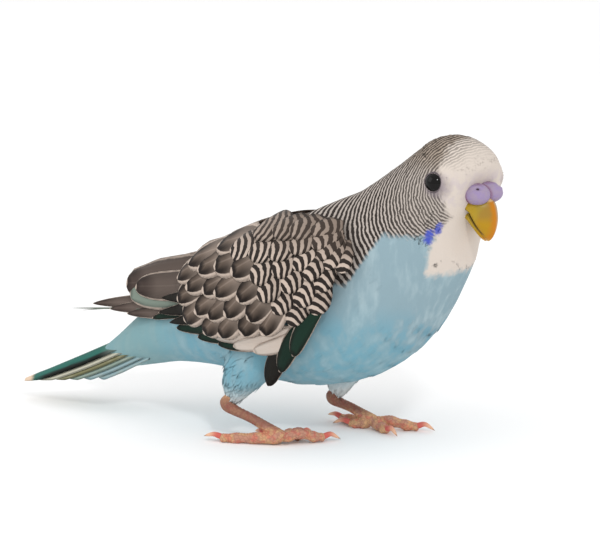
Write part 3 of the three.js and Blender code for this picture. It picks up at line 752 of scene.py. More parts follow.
def far_from_arm(x, z):
    """0 at the middle of the covered wing arm and 1 at its rim, in side view."""
    slope = math.radians(ARM["slope"])
    along = (x - ARM["x"]) * math.cos(slope) + (z - ARM["z"]) * math.sin(slope)
    up = (z - ARM["z"]) * math.cos(slope) - (x - ARM["x"]) * math.sin(slope)
    return (along / ARM["half_length"]) ** 2 + (up / ARM["half_height"]) ** 2


def mask_share(face):
    """1 on the white mask, for places in face directions."""
    mirrored = np.stack([face[:, 0], np.abs(face[:, 1]), face[:, 2]], axis=1)
    upper, bib = (
        1 - smoothstep(-0.8, 0.8, np.linalg.norm(mirrored - middle, axis=1) - radius)
        for middle, radius in (MASK_UPPER, MASK_BIB)
    )
    bib = np.minimum(bib, smoothstep(BIB_ENDS - 1, BIB_ENDS + 1, mirrored[:, 2]))
    return np.maximum(upper, bib)


def lie_of_coat(places, normals):
    """The direction in which the feathers point, along the skin."""
    start = on_face(*BARS_FROM)
    lie = unit(places - start)
    rear = smoothstep(-46, -56, places[:, 0])[:, None]
    tail_way = unit(np.array([TAIL["tip"][0] - TAIL["root"][0], 0, TAIL["tip"][1] - TAIL["root"][1]]))
    lie = lie * (1 - rear) + tail_way * rear
    for top, end in THIGHS.values():
        t, off = along_thigh(places, np.array(top), np.array(end))
        near = 1 - smoothstep(THIGH_REACH - 1.5, THIGH_REACH + 1.5, np.linalg.norm(off, axis=1))
        near = near * smoothstep(0.1, 0.5, t) * smoothstep(22, 17, places[:, 2])
        lie = lie * (1 - near[:, None]) + unit(np.array(end) - np.array(top)) * near[:, None]
    lie = lie - np.sum(lie * normals, axis=1)[:, None] * normals
    return unit(lie + 1e-6)


def flesh_mesh(name, sections):
    """Flesh that the skin closes over, from its sections in side view."""
    tops, bottoms = section_paths(sections)
    angles = np.linspace(0, 2 * math.pi, 32, endpoint=False)
    rings = []
    for s in np.linspace(0, 0.9, 15):
        top, bottom = tops(s), bottoms(s)
        middle, half = (top + bottom) / 2, (top - bottom) / 2
        up, out = np.cos(angles), np.sin(angles)
        rings.append(np.stack([middle[0] + half[0] * up, middle[1] * out, middle[2] + half[2] * up], axis=1))
    return closed_tube(name, rings, len(angles))


def eye_place(side):
    return unit(EYE_AXIS * (1, side, 1)) * EYE_DEPTH


def eye_directions(side):
    """The way the eye looks, and two directions across it."""
    axis = unit(EYE_AXIS * (1, side, 1))
    axis = FACE_AHEAD * axis[0] + FACE_LEFT * axis[1] + UP * axis[2]
    first = unit(np.cross(axis, UP))
    return axis, first, np.cross(axis, first)


def socket_mesh(side):
    """A cap of the head under the eyelids."""
    axis, first, second = eye_directions(side)
    angles = np.linspace(0, 2 * math.pi, 32, endpoint=False)
    around = first * np.cos(angles)[:, None] + second * np.sin(angles)[:, None]
    inner = [(9, 0.2), (11, 0.3)]
    cap = [(SOCKET_REACH, 0.36 - 0.04 * k) for k in range(9)]
    rings = [
        HEAD_PLACE + reach * (axis * math.cos(tilt) + around * math.sin(tilt)) for reach, tilt in inner + cap
    ]
    return closed_tube("socket", rings, len(angles))


def from_bars(places):
    return np.linalg.norm(places - on_face(*BARS_FROM), axis=1)


def closed_skin():
    """The flesh as one closed skin, at the depth of the coat inside the solids.

    With it come its places and, in face directions, the places they had before they sank.
    """
    extra = [flesh_mesh("tail root", TAIL_ROOT), flesh_mesh("mantle", MANTLE)]
    extra += [socket_mesh(side) for side in SIDES.values()]
    made = joined_nodes("skin", FLESH_NODES, extra)
    move_vertices(made.data, mesh_places(made.data) + vertex_normals(made.data) * SKIN_SWELL)
    add_modifier(made, "REMESH", mode="VOXEL", voxel_size=SKIN_GRAIN * MM)
    add_modifier(made, "SMOOTH", factor=0.5, iterations=SKIN_SOFTENING)
    as_plain_mesh(made)
    places = mesh_places(made.data)
    distance = from_bars(places)
    face_depth, coat_depth = sizes_mm("face_depth"), sizes_mm("coat_depth")
    depth = face_depth + (coat_depth - face_depth) * smoothstep(*DEEPER_COAT, distance)
    covered = smoothstep(2.0, 8.0, distance - 6)
    sunk = vertex_normals(made.data) * (SKIN_SWELL + depth * covered)[:, None]
    face = face_places(places)
    places = places - sunk
    move_vertices(made.data, places)
    made.data.update()
    return made, places, face


def open_to_feathers(places, face, lie, eye_gap):
    """1 where feathers may grow, and 0 where they would cover the eyes or the bill."""
    nearest = np.where(places[:, 1] < 0, -1, 1)
    eyes = np.array([on_face(*eye_place(side)) for side in (-1, 1)])[(nearest + 1) // 2]
    towards = np.sum(lie * unit(eyes - places), axis=1)
    clear_eye = (eye_gap > EYE_CLEAR + 1.0 * np.maximum(0, towards)).astype(float)
    bill_gap = np.linalg.norm((face - BILL_CLEAR[0]) / BILL_CLEAR[1], axis=1)
    return clear_eye * (bill_gap > 1)


def make_skin():
    made, places, face = closed_skin()
    mesh = made.data
    lie = lie_of_coat(places, vertex_normals(mesh))
    set_attribute(mesh, "lie", lie, "FLOAT_VECTOR")
    x, y, z = places.T
    height = face[:, 2]
    mask = mask_share(face)
    eye_gap = np.minimum(*(np.linalg.norm(face - eye_place(side), axis=1) for side in SIDES.values()))
    open_skin = open_to_feathers(places, face, lie, eye_gap)
    distance = from_bars(places)
    near_eye = 1 - smoothstep(1.5, 4.5, eye_gap - EYE_RADIUS)
    face_coat = np.maximum(mask * smoothstep(BIB_ENDS, BIB_ENDS + 8, height), near_eye)
    neck = smoothstep(20, 24, distance) * (1 - mask)
    blue_top = np.clip(BLUE_TOP["offset"] + BLUE_TOP["slope"] * x, BLUE_TOP["least"], BLUE_TOP["most"])
    body = 1 - smoothstep(-1.5, 1.5, z - blue_top)
    breast = smoothstep(2, 6, x)
    thigh = (z < THIGH_COAT_TOP) & (leg_distance(places) < THIGH_REACH - 0.5)
    hidden = ((far_from_arm(x, z) < ARM_HIDDEN) & (np.abs(y) > 6)) | (x < coat_end(x, z))
    rest = open_skin * (1 - face_coat) * neck * ~hidden
    regions = {
        "face coat": open_skin * face_coat,
        "head coat": open_skin * (1 - face_coat) * (1 - neck),
        "neck coat": rest * (1 - body),
        "breast coat": rest * body * breast,
        "belly coat": rest * body * (1 - breast) * ~thigh,
        "thigh coat": rest * body * thigh,
    }
    for region, share in regions.items():
        set_attribute(mesh, region, share)

    throat = smoothstep(-12, -16, height) * smoothstep(-38, -28, height) * smoothstep(-8, 2, face[:, 0])
    growth = 0.62 + 0.38 * smoothstep(6, 20, distance)
    growth = growth * (1 - 0.4 * throat)
    growth = growth * (1 - 0.35 * near_eye) * (1 - 0.3 * smoothstep(-52, -64, x))
    growth = growth * (1 + 0.35 * smoothstep(10, 7.5, z))
    set_attribute(mesh, "growth", growth)
    set_attribute(mesh, "loose", smoothstep(30, 14, z) * 0.3)
    mesh.materials.append(skin_finish())
    return made


def coat_end(x, z):
    slope = (TAIL["tip"][1] - TAIL["root"][1]) / (TAIL["tip"][0] - TAIL["root"][0])
    over_axis = z - TAIL["root"][1] - slope * (x - TAIL["root"][0])
    return np.interp(over_axis, *zip(*COAT_ENDS))


def leg_distance(places):
    gaps = [
        np.linalg.norm(along_thigh(places, np.array(top), np.array(end))[1], axis=1)
        for top, end in THIGHS.values()
    ]
    return np.minimum(*gaps)


# One small feather of the coat, of unit length along x and unit width along y.
def vane_mesh(name, rows, columns, rng, ragged=0.16, droop=0.0, camber=0.05, thick=0.03):
    t = np.linspace(0, 1, rows + 1) ** 0.85
    j = np.linspace(-1, 1, columns + 1)
    reach = 1 - 0.16 * np.abs(j) ** 1.5 - rng.random(columns + 1) * ragged
    reach[1::2] -= ragged * 0.5
    half = np.where(t < 0.6, 0.35 + 0.65 * np.sin(t / 0.6 * math.pi / 2), 1 - 0.62 * ((t - 0.6) / 0.4) ** 2)
    places, uvs = [], []
    for layer in (1, -1):
        for a, station in enumerate(t):
            for b, across in enumerate(j):
                rim = a in (0, rows) or b in (0, columns)
                if layer == -1 and rim:
                    continue
                x = station * reach[b] if a > rows * 0.4 else station * (1 - 0.5 * (1 - reach[b]))
                y = 0.5 * across * half[a]
                arch = camber * (1 - across**2) * half[a] - droop * station**2
                places.append((x, y, arch + (0 if rim else layer * thick)))
                uvs.append(((across + 1) / 2, station))
    faces = vane_faces(rows, columns)
    mesh = bpy.data.meshes.new(name)
    mesh.from_pydata(places, [], faces)
    mesh.shade_smooth()
    add_uv(mesh, "vane", np.array(uvs)[corner_vertices(mesh)])
    made = new_object(name, mesh)
    return made


def vane_faces(rows, columns, start=0):
    """Faces of a closed thin vane: an upper grid, and a lower one that shares its rim."""
    wide = columns + 1
    upper = np.arange((rows + 1) * wide).reshape(rows + 1, wide)
    lower = upper.copy()
    inside = np.arange((rows - 1) * (columns - 1)).reshape(rows - 1, columns - 1)
    lower[1:-1, 1:-1] = (rows + 1) * wide + inside
    faces = []
    for a in range(rows):
        for b in range(columns):
            faces.append([start + int(upper[a, b]), start + int(upper[a + 1, b]),
                          start + int(upper[a + 1, b + 1]), start + int(upper[a, b + 1])])
            faces.append([start + int(lower[a, b]), start + int(lower[a, b + 1]),
                          start + int(lower[a + 1, b + 1]), start + int(lower[a + 1, b])])
    return faces


def coat_tree():
    """Spreads small feathers over a region of the skin, lying the way of its lie attribute."""
    tree = bpy.data.node_groups.new("Coat of small feathers", "GeometryNodeTree")
    wanted = [
        ("Skin", "NodeSocketGeometry"), ("Region", "NodeSocketString"), ("Spacing", "NodeSocketFloat"),
        ("Length", "NodeSocketFloat"), ("Width", "NodeSocketFloat"), ("Lift", "NodeSocketFloat"),
        ("Turn", "NodeSocketFloat"), ("Sink", "NodeSocketFloat"), ("Feather A", "NodeSocketObject"),
        ("Feather B", "NodeSocketObject"), ("Feather C", "NodeSocketObject"),
        ("Finish", "NodeSocketMaterial"), ("Seed", "NodeSocketInt"),
    ]
    for name, kind in wanted:
        tree.interface.new_socket(name, in_out="INPUT", socket_type=kind)
    tree.interface.new_socket("Coat", in_out="OUTPUT", socket_type="NodeSocketGeometry")

    def node(kind, settings=None, inputs=None):
        made = tree.nodes.new(kind)
        for key, value in (settings or {}).items():
            setattr(made, key, value)
        for key, value in (inputs or {}).items():
            if isinstance(value, bpy.types.NodeSocket):
                tree.links.new(value, made.inputs[key])
            else:
                made.inputs[key].default_value = value
        return made

    def maths(operation, *parts):
        return node("ShaderNodeMath", {"operation": operation}, dict(enumerate(parts))).outputs[0]

    def chance(low, high, seed, kind="FLOAT"):
        made = node("FunctionNodeRandomValue", {"data_type": kind})
        shown = [s for s in made.inputs if s.enabled]
        shown[0].default_value = low
        shown[1].default_value = high
        tree.links.new(maths("ADD", given["Seed"], seed), shown[-1])
        return [out for out in made.outputs if out.enabled][0]

    def named(name, kind="FLOAT"):
        made = node("GeometryNodeInputNamedAttribute", {"data_type": kind})
        if isinstance(name, str):
            made.inputs["Name"].default_value = name
        else:
            tree.links.new(name, made.inputs["Name"])
        return [out for out in made.outputs if out.enabled][0]

    given = node("NodeGroupInput").outputs
    spacing = given["Spacing"]
    most = maths("DIVIDE", 2.2, maths("MULTIPLY", spacing, spacing))
    spread = node("GeometryNodeDistributePointsOnFaces", {"distribute_method": "POISSON"}, {
        "Mesh": given["Skin"], "Distance Min": spacing, "Density Max": most,
        "Density Factor": named(given["Region"]), "Seed": given["Seed"],
    })
    normal = spread.outputs["Normal"]
    sunk = node("ShaderNodeVectorMath", {"operation": "SCALE"}, {
        0: normal, "Scale": maths("MULTIPLY", given["Sink"], -1),
    })
    points = node("GeometryNodeSetPosition", None, {"Geometry": spread.outputs[0], "Offset": sunk.outputs[0]})
    rooted = node("GeometryNodeStoreNamedAttribute", {"data_type": "FLOAT_VECTOR"}, {
        "Geometry": points.outputs[0], "Name": "root", "Value": node("GeometryNodeInputPosition").outputs[0],
    })
    toned = node("GeometryNodeStoreNamedAttribute", {"data_type": "FLOAT"}, {
        "Geometry": rooted.outputs[0], "Name": "tone", "Value": chance(0.0, 1.0, 1),
    })
    toned = node("GeometryNodeStoreNamedAttribute", {"data_type": "FLOAT_VECTOR"}, {
        "Geometry": toned.outputs[0], "Name": "outward", "Value": normal,
    })
    frame_of = node("FunctionNodeAxesToRotation", {"primary_axis": "Z", "secondary_axis": "X"}, {
        "Primary Axis": normal, "Secondary Axis": named("lie", "FLOAT_VECTOR"),
    })
    loose = maths("ADD", 1.0, named("loose"))
    lift = maths("MULTIPLY", maths("MULTIPLY", given["Lift"], chance(-1.35, -0.65, 2)), loose)
    turn = maths("MULTIPLY", maths("MULTIPLY", given["Turn"], chance(-1.0, 1.0, 3)), loose)
    twist = node("ShaderNodeCombineXYZ", None, {1: lift, 2: turn})
    turned = node("FunctionNodeRotateRotation", {"rotation_space": "LOCAL"}, {
        "Rotation": frame_of.outputs[0],
        "Rotate By": node("FunctionNodeEulerToRotation", None, {0: twist.outputs[0]}).outputs[0],
    })
    growth = named("growth")
    long = maths("MULTIPLY", maths("MULTIPLY", given["Length"], growth), chance(0.82, 1.15, 4))
    wide = maths("MULTIPLY", maths("MULTIPLY", given["Width"], growth), chance(0.85, 1.15, 5))
    size = node("ShaderNodeCombineXYZ", None, {0: long, 1: wide, 2: wide})
    kinds = node("GeometryNodeJoinGeometry")
    for name in ("Feather C", "Feather B", "Feather A"):
        shape = node("GeometryNodeObjectInfo", None, {"Object": given[name], "As Instance": True})
        tree.links.new(shape.outputs["Geometry"], kinds.inputs[0])
    placed = node("GeometryNodeInstanceOnPoints", None, {
        "Points": toned.outputs[0], "Instance": kinds.outputs[0], "Pick Instance": True,
        "Instance Index": chance(0, 2, 6, "INT"), "Rotation": turned.outputs[0], "Scale": size.outputs[0],
    })
    real = node("GeometryNodeRealizeInstances", None, {"Geometry": placed.outputs[0]})
    smooth = node("GeometryNodeSetShadeSmooth", None, {"Geometry": real.outputs[0]})
    coloured = node("GeometryNodeSetMaterial", None, {
        "Geometry": smooth.outputs[0], "Material": given["Finish"],
    })
    node("NodeGroupOutput", None, {0: coloured.outputs[0]})
    return tree


def make_coat(name, skin, region, tree, feathers, finish, spacing, length, width, lift, turn, sink, seed):
    """One piece of the coat, as a plain mesh with its bake map."""
    made = new_object(name, skin.data.copy())
    coat = made.modifiers.new("coat", "NODES")
    coat.node_group = tree
    values = {
        "Region": region, "Spacing": spacing * MM, "Length": length * MM, "Width": width * MM,
        "Lift": math.radians(lift), "Turn": math.radians(turn), "Sink": sink * MM,
        "Feather A": feathers[0], "Feather B": feathers[1], "Feather C": feathers[2],
        "Finish": finish, "Seed": seed,
    }
    for item in tree.interface.items_tree:
        if item.item_type == "SOCKET" and item.in_out == "INPUT" and item.name in values:
            coat[item.identifier] = values[item.name]
    as_plain_mesh(made)
    add_bake_map(made.data)
    return made


def add_bake_map(mesh, patch=0.003):
    """Each feather is a small patch at its root's place on the unwrapped skin."""
    roots = np.empty(len(mesh.vertices) * 3, dtype=np.float32)
    mesh.attributes["root"].data.foreach_get("vector", roots)
    roots = roots.reshape(-1, 3) / MM - BIRD_ORIGIN
    spot = spread_on_body(roots)
    low, high = spot.min(axis=0), spot.max(axis=0)
    spot = 0.02 + 0.96 * (spot - low) / np.maximum(high - low, 1e-6)
    corners = corner_vertices(mesh)
    inner = np.empty(len(mesh.loops) * 2, dtype=np.float32)
    mesh.uv_layers["vane"].uv.foreach_get("vector", inner)
    add_uv(mesh, "OFBake", spot[corners] + (inner.reshape(-1, 2) - 0.5) * patch)
    mesh.attributes.remove(mesh.attributes["root"])


# The wings.
def section_paths(sections):
    tops = smooth_path([(top[0], wide, top[1]) for top, bottom, wide in sections])
    bottoms = smooth_path([(bottom[0], wide, bottom[1]) for top, bottom, wide in sections])
    return tops, bottoms


SHELL_TOP, SHELL_BOTTOM = section_paths(WING_SHELL)


def shell_reach(x, z):
    """How far out the wing shell is at places in side view."""
    low, high = np.zeros_like(x), np.ones_like(x)
    for _ in range(24):
        s = (low + high) / 2
        top, bottom = SHELL_TOP(s), SHELL_BOTTOM(s)
        line_x, line_z = top[..., 0] - bottom[..., 0], top[..., 2] - bottom[..., 2]
        behind = line_x * (z - bottom[..., 2]) - line_z * (x - bottom[..., 0]) > 0
        high = np.where(behind, s, high)
        low = np.where(behind, low, s)
    top, bottom = SHELL_TOP(low), SHELL_BOTTOM(low)
    line = top[..., [0, 2]] - bottom[..., [0, 2]]
    away = np.stack([x, z], axis=-1) - bottom[..., [0, 2]]
    up = np.sum(away * line, axis=-1) / np.sum(line * line, axis=-1)
    cosine = np.clip(2 * up - 1, -1, 1)
    wide = (top[..., 1] + bottom[..., 1]) / 2
    return np.maximum(1.4, wide * np.sqrt(1 - cosine**2))


def on_wing(side, x, z, lift):
    """Places on the folded wing of a side, lifted off the shell along its normal."""
    step = 0.4
    y = shell_reach(x, z)
    slope_x = (shell_reach(x + step, z) - shell_reach(x - step, z)) / (2 * step)
    slope_z = (shell_reach(x, z + step) - shell_reach(x, z - step)) / (2 * step)
    normal = unit(np.stack([-slope_x, np.ones_like(x), -slope_z], axis=-1))
    places = np.stack([x, y, z], axis=-1) + normal * np.asarray(lift)[..., None]
    places[..., 1] = np.maximum(places[..., 1], 0.8)
    if side > 0:
        places = lowered(places)
    return places * np.array([1, side, 1])


def lowered(places):
    """The left wing is turned a little lower about the middle of its arm."""
    turn = math.radians(FAR_WING_TURN)
    x, z = places[..., 0] - ARM["x"], places[..., 2] - ARM["z"]
    moved = places.copy()
    moved[..., 0] = ARM["x"] + x * math.cos(turn) + z * math.sin(turn)
    moved[..., 2] = ARM["z"] - x * math.sin(turn) + z * math.cos(turn)
    return moved


def arm_bulge(x, z):
    far = far_from_arm(x, z)
    return ARM["outer"] * np.sqrt(np.maximum(0, 1 - far)) - 0.9 * smoothstep(0.75, 1.1, far)


def feather_stations(rows):
    """Places along a feather, closer together towards its rounded tip."""
    t = np.linspace(0, 1, rows + 1)
    return np.where(t < 0.5, t * 1.1, 0.55 + 0.45 * np.sin((t - 0.5) * math.pi))


def feather_half(t, blunt=2.2):
    """Half width along a feather, as a share of the widest."""
    narrow = 0.42 + 0.58 * np.sin(np.clip(t / 0.55, 0, 1) * math.pi / 2)
    end = np.clip((t - 0.55) / 0.45, 0, 1)
    return np.where(t < 0.55, narrow, np.maximum(1 - end**blunt, 0) ** (1 / blunt))


class FeatherBatch:
    """Collects feathers and makes one mesh of them."""

    def __init__(self):
        self.places, self.uvs, self.faces, self.tones, self.spots, self.slots = [], [], [], [], [], []
        self.count = 0
        self.feathers = 0

    def add(self, middle, spot, rows, columns, slot, tone):
        """middle(t, j, rise) gives places, and spot(t, j) the way across and from the tip, in mm."""
        rise = sizes_mm("vane") / 2
        tt, jj = np.meshgrid(feather_stations(rows), np.linspace(-1, 1, columns + 1), indexing="ij")
        inside = np.zeros_like(tt, dtype=bool)
        inside[1:-1, 1:-1] = True
        thick = np.where(inside, rise, 0.0)
        uv = np.stack([(jj + 1) / 2, tt], axis=-1)
        kept = np.stack([*spot(tt, jj), np.zeros_like(tt)], axis=-1)
        for values, store in ((middle(tt, jj, thick), self.places), (uv, self.uvs), (kept, self.spots)):
            width = values.shape[-1]
            upper = values.reshape(-1, width)
            if store is self.places:
                values = middle(tt, jj, -thick)
            store += [upper, values[1:-1, 1:-1].reshape(-1, width)]
        self.faces += vane_faces(rows, columns, self.count)
        made = len(self.places[-1]) + len(self.places[-2])
        self.tones.append(np.full(made, tone))
        self.slots += [slot] * (2 * rows * columns)
        self.count += made
        self.feathers += 1

    def mesh(self, name, materials, turned):
        faces = [face[::-1] for face in self.faces] if turned else self.faces
        mesh = mesh_from(name, np.concatenate(self.places), faces)
        uv = np.concatenate(self.uvs)[corner_vertices(mesh)]
        add_uv(mesh, "vane", uv)
        set_attribute(mesh, "tone", np.concatenate(self.tones))
        set_attribute(mesh, "spot", np.concatenate(self.spots), "FLOAT_VECTOR")
        for material in materials:
            mesh.materials.append(material)
        mesh.polygons.foreach_set("material_index", np.array(self.slots, dtype=np.int32))
        feather_of = np.repeat(np.arange(self.feathers), [len(tones) for tones in self.tones])
        add_atlas(mesh, uv, feather_of[corner_vertices(mesh)], self.feathers)
        return mesh


def add_atlas(mesh, uv, feather_of, feathers):
    """The bake map of large feathers gives each its own cell."""
    across = math.ceil(math.sqrt(feathers * 0.5))
    down = math.ceil(feathers / across)
    cell = np.stack([feather_of % across, feather_of // across], axis=1)
    add_uv(mesh, "OFBake", (cell + 0.06 + 0.88 * uv) / np.array([across, down]))


def wing_feather(batch, side, feather, rng, rows=12, columns=6, on_arm=1.0):
    """One feather on the wing. Its root and tip are in side view, and its lifts at both ends."""
    root, tip = np.array(feather["root"], float), np.array(feather["tip"], float)
    width, lifts = feather["width"], feather["lifts"]
    bow, tilt = feather.get("bow", 0.0), feather.get("tilt", 0.1)
    camber, blunt = feather.get("camber", 0.05), feather.get("blunt", 2.1)
    along = tip - root
    length = np.linalg.norm(along)
    across = np.array([along[1], -along[0]]) / length

    def middle(t, j, rise):
        half = width / 2 * feather_half(t, blunt)
        bend = bow * np.sin(t * math.pi)
        x = root[0] + along[0] * t + across[0] * (half * j + bend)
        z = root[1] + along[1] * t + across[1] * (half * j + bend)
        lift = lifts[0] + (lifts[1] - lifts[0]) * np.minimum(1, t * 1.15)
        lift = lift + camber * width * (1 - j * j) * np.minimum(1, t * 2) - tilt * width * j * 0.5
        below_top = wing_top(x) - z
        z = np.minimum(z, wing_top(x) - 0.2)
        flat = 0.3 + 0.7 * smoothstep(0.5, 6.0, below_top)
        return on_wing(side, x, z, (arm_bulge(x, z) * on_arm + lift) * flat + rise)

    def spot(t, j):
        return width / 2 * feather_half(t, blunt) * j, (1 - t) * length

    batch.add(middle, spot, rows, columns, feather["slot"], rng.random())


BARRED, EDGED, FLIGHT, GREEN, BLACK, CREAM, GREY = range(7)
# Rows of coverts: distance of the tips from the wing's start, length, width and kind.
COVERT_ROWS = [
    (5.5, 5.5, 3.8, BARRED), (11.8, 8.5, 5.2, BARRED), (18.1, 10.5, 6.4, BARRED), (24.4, 12.0, 7.2, BARRED),
    (30.7, 13.0, 7.8, BARRED), (37.0, 13.5, 8.0, BARRED), (42.5, 14.0, 8.0, EDGED), (47.5, 14.0, 8.0, EDGED),
    (52.5, 14.5, 8.0, EDGED), (57.0, 14.5, 7.6, EDGED),
]
COVERT_ANGLES = (-32, 112)
COVERT_STEP = 0.72  # from one covert to the next in its row, as a share of a covert's width
COVERT_TURN = 14  # degrees that the coverts bend
# A tip farther from the arm than this is left out, on the arm's front and on its rear.
FRONT_COVERTS, REAR_COVERTS, FRONT_FROM = 0.98, 1.12, 2
# Clear height under the wing's upper edge, for the near wing, and for the far one by x.
NEAR_CLEAR, FAR_CLEAR = 0.6, ((-20, -8, 0), (1.0, 3.4, 6.5))
# Barred feathers reach farther back near the wing's upper edge.
BARRED_REACH = ((-40, 41.0), (20, 37.0), (60, 33.0), (112, 26.0))

# Feathers under the coverts, from the lowest to the highest.
UNDER_FEATHERS = [
    {"slot": FLIGHT, "root": (-30, 36), "tip": (-67.4, 29.8),
     "width": 4.2, "lifts": (-1.8, -1.2), "blunt": 1.5},
    {"slot": FLIGHT, "root": (-28, 35), "tip": (-61.5, 29.0),
     "width": 4.2, "lifts": (-1.6, -1.0), "blunt": 1.6},
    {"slot": FLIGHT, "root": (-26, 34), "tip": (-55.5, 28.4),
     "width": 4.2, "lifts": (-1.4, -0.9), "blunt": 1.6},
    {"slot": GREY, "root": (-50, 30.4), "tip": (-74.2, 27.6),
     "width": 0.5, "lifts": (-1.0, -0.9), "blunt": 1.4},
    {"slot": FLIGHT, "root": (-20, 47), "tip": (-56.4, 36.2), "width": 10.5, "lifts": (-1.3, -0.4),
     "blunt": 2.6, "bow": -0.8},
    {"slot": GREY, "root": (-20, 42), "tip": (-54.4, 34.0), "width": 9.5, "lifts": (-1.0, -0.1), "blunt": 2.4,
     "bow": -0.8},
    {"slot": FLIGHT, "root": (-20, 43.5), "tip": (-52.6, 36.0), "width": 8.0, "lifts": (-0.7, 0.2),
     "blunt": 2.4, "bow": -0.8},
    {"slot": BLACK, "root": (-22, 38), "tip": (-42.4, 34.6),
     "width": 3.6, "lifts": (-0.4, 0.5), "blunt": 1.4},
    {"slot": BLACK, "root": (-22, 36), "tip": (-43.0, 30.6),
     "width": 3.4, "lifts": (-0.4, 0.7), "blunt": 1.4},
    {"slot": BLACK, "root": (-20, 34), "tip": (-39.0, 28.6),
     "width": 3.4, "lifts": (-0.4, 0.8), "blunt": 1.4},
    {"slot": GREEN, "root": (4, 31.6), "tip": (-46.0, 28.6), "width": 3.6, "lifts": (-0.9, -0.2), "bow": 4.0},
    {"slot": GREEN, "root": (2, 32), "tip": (-37.0, 27.4), "width": 4.6, "lifts": (-0.7, 0.2), "bow": 0.6},
    {"slot": GREEN, "root": (2, 31.5), "tip": (-29.5, 26.2), "width": 4.6, "lifts": (-0.5, 0.4), "bow": -0.2},
    {"slot": GREEN, "root": (3, 30.5), "tip": (-22.5, 25.4), "width": 4.2, "lifts": (-0.3, 0.6), "bow": -0.8},
]
OVER_FEATHERS = [
    {"slot": CREAM, "root": (4, 33.5), "tip": (-23.0, 27.2), "width": 4.2, "lifts": (0.0, 0.9), "bow": -0.6},
    {"slot": CREAM, "root": (5, 33.8), "tip": (-17.0, 25.8), "width": 4.6, "lifts": (0.2, 1.1), "bow": -1.0},
    {"slot": CREAM, "root": (6, 33.4), "tip": (-10.5, 25.4), "width": 4.2, "lifts": (0.5, 1.3), "bow": -1.0},
]
ALULA = [
    {"slot": BLACK, "root": (8.0, 38.0), "tip": (-8.4, 15.8), "width": 6.0, "lifts": (0.1, 0.6), "bow": 1.2},
    {"slot": GREEN, "root": (8.8, 38.0), "tip": (-3.4, 20.8), "width": 5.4, "lifts": (0.5, 1.0), "bow": 1.0},
    {"slot": GREEN, "root": (9.4, 38.4), "tip": (1.4, 26.0), "width": 4.8, "lifts": (0.9, 1.4), "bow": 0.8},
]


def wing_top(x):
    """The height of the wing shell's upper edge in side view."""
    return np.interp(x, [top[0] for top, _, _ in WING_SHELL], [top[1] for top, _, _ in WING_SHELL])


def covert_over_edge(side, root, tip):
    """True for a covert that would stand over the wing's upper edge or over the back."""
    clear = NEAR_CLEAR if side < 0 else np.interp(tip[0], *FAR_CLEAR)
    if tip[1] > wing_top(tip[0]) - clear:
        return True
    return side > 0 and tip[0] > FAR_WING_FROM and max(tip[1], root[1] - 1.5) > FAR_WING_HEIGHT


def covert_feathers(batch, side, rng):
    from_x, from_z = WING_BARS_FROM
    for number, (distance, length, width, kind) in enumerate(COVERT_ROWS):
        step = math.degrees(width * COVERT_STEP / distance)
        angle = COVERT_ANGLES[0] + (number % 2) * 0.5 * step
        while angle < COVERT_ANGLES[1]:
            turn = math.radians(angle + rng.normal() * 0.07 * step)
            angle += step
            away = np.array([-math.cos(turn), -math.sin(turn)])
            reach = distance + rng.normal() * (0.1 + 0.09 * number)
            tip = np.array([from_x, from_z]) + away * reach
            bend = math.radians(COVERT_TURN + rng.normal() * 3)
            inward = np.array([
                away[0] * math.cos(bend) - away[1] * math.sin(bend),
                away[0] * math.sin(bend) + away[1] * math.cos(bend),
            ])
            root = tip - (away + inward) / 2 * min(length, reach - 0.4)
            if far_from_arm(*tip) > (REAR_COVERTS if tip[0] < FRONT_FROM else FRONT_COVERTS):
                continue
            if covert_over_edge(side, root, tip):
                continue
            limit = np.interp(math.degrees(turn), *zip(*BARRED_REACH))
            slot = BARRED if kind == BARRED and reach < limit else EDGED
            feather = {
                "slot": slot, "root": root, "tip": tip, "width": width * rng.uniform(0.92, 1.12),
                "lifts": (-0.2, 0.75 + 0.03 * number), "camber": 0.06, "tilt": rng.normal() * 0.03 + 0.09,
            }
            wing_feather(batch, side, feather, rng, 14, 6)


def flight_feathers(batch, side, rng):
    for feather in UNDER_FEATHERS:
        wing_feather(batch, side, {"tilt": 0.05, "camber": 0.02, **feather}, rng, 26, 6)


def upper_feathers(batch, side, rng):
    for feather in OVER_FEATHERS:
        wing_feather(batch, side, {"tilt": 0.04, "camber": 0.03, **feather}, rng, 22, 6)
    for feather in ALULA:
        wing_feather(batch, side, {"tilt": 0.05, **feather}, rng, 22, 6, 0.6)


# The bed under the coverts, as shares of the arm, and how far it is sunk.
BED_LENGTH, BED_HEIGHT, BED_OUTER, BED_SUNK = 0.9, {-1: 0.8, 1: 0.7}, 0.85, 0.35


def wing_bed(side):
    """The covered arm under the coverts, a closed lens on the shell."""
    around, rings = 64, 24
    slope = math.radians(ARM["slope"])
    angles = np.linspace(0, 2 * math.pi, around, endpoint=False)
    places = []
    for latitude in np.linspace(-math.pi / 2, math.pi / 2, rings + 1)[1:-1]:
        along = np.cos(angles) * math.cos(latitude) * ARM["half_length"] * BED_LENGTH
        up = np.sin(angles) * math.cos(latitude) * ARM["half_height"] * BED_HEIGHT[side]
        x = ARM["x"] + along * math.cos(slope) - up * math.sin(slope)
        z = ARM["z"] + along * math.sin(slope) + up * math.cos(slope)
        out = math.sin(latitude)
        lift = out * (ARM["outer"] * BED_OUTER if out > 0 else ARM["inner"]) - BED_SUNK
        places.append(on_wing(side, x, z, np.full_like(x, lift)))
    mesh = closed_tube("wing bed", places, around)
    if side > 0:
        mesh.flip_normals()
    return mesh


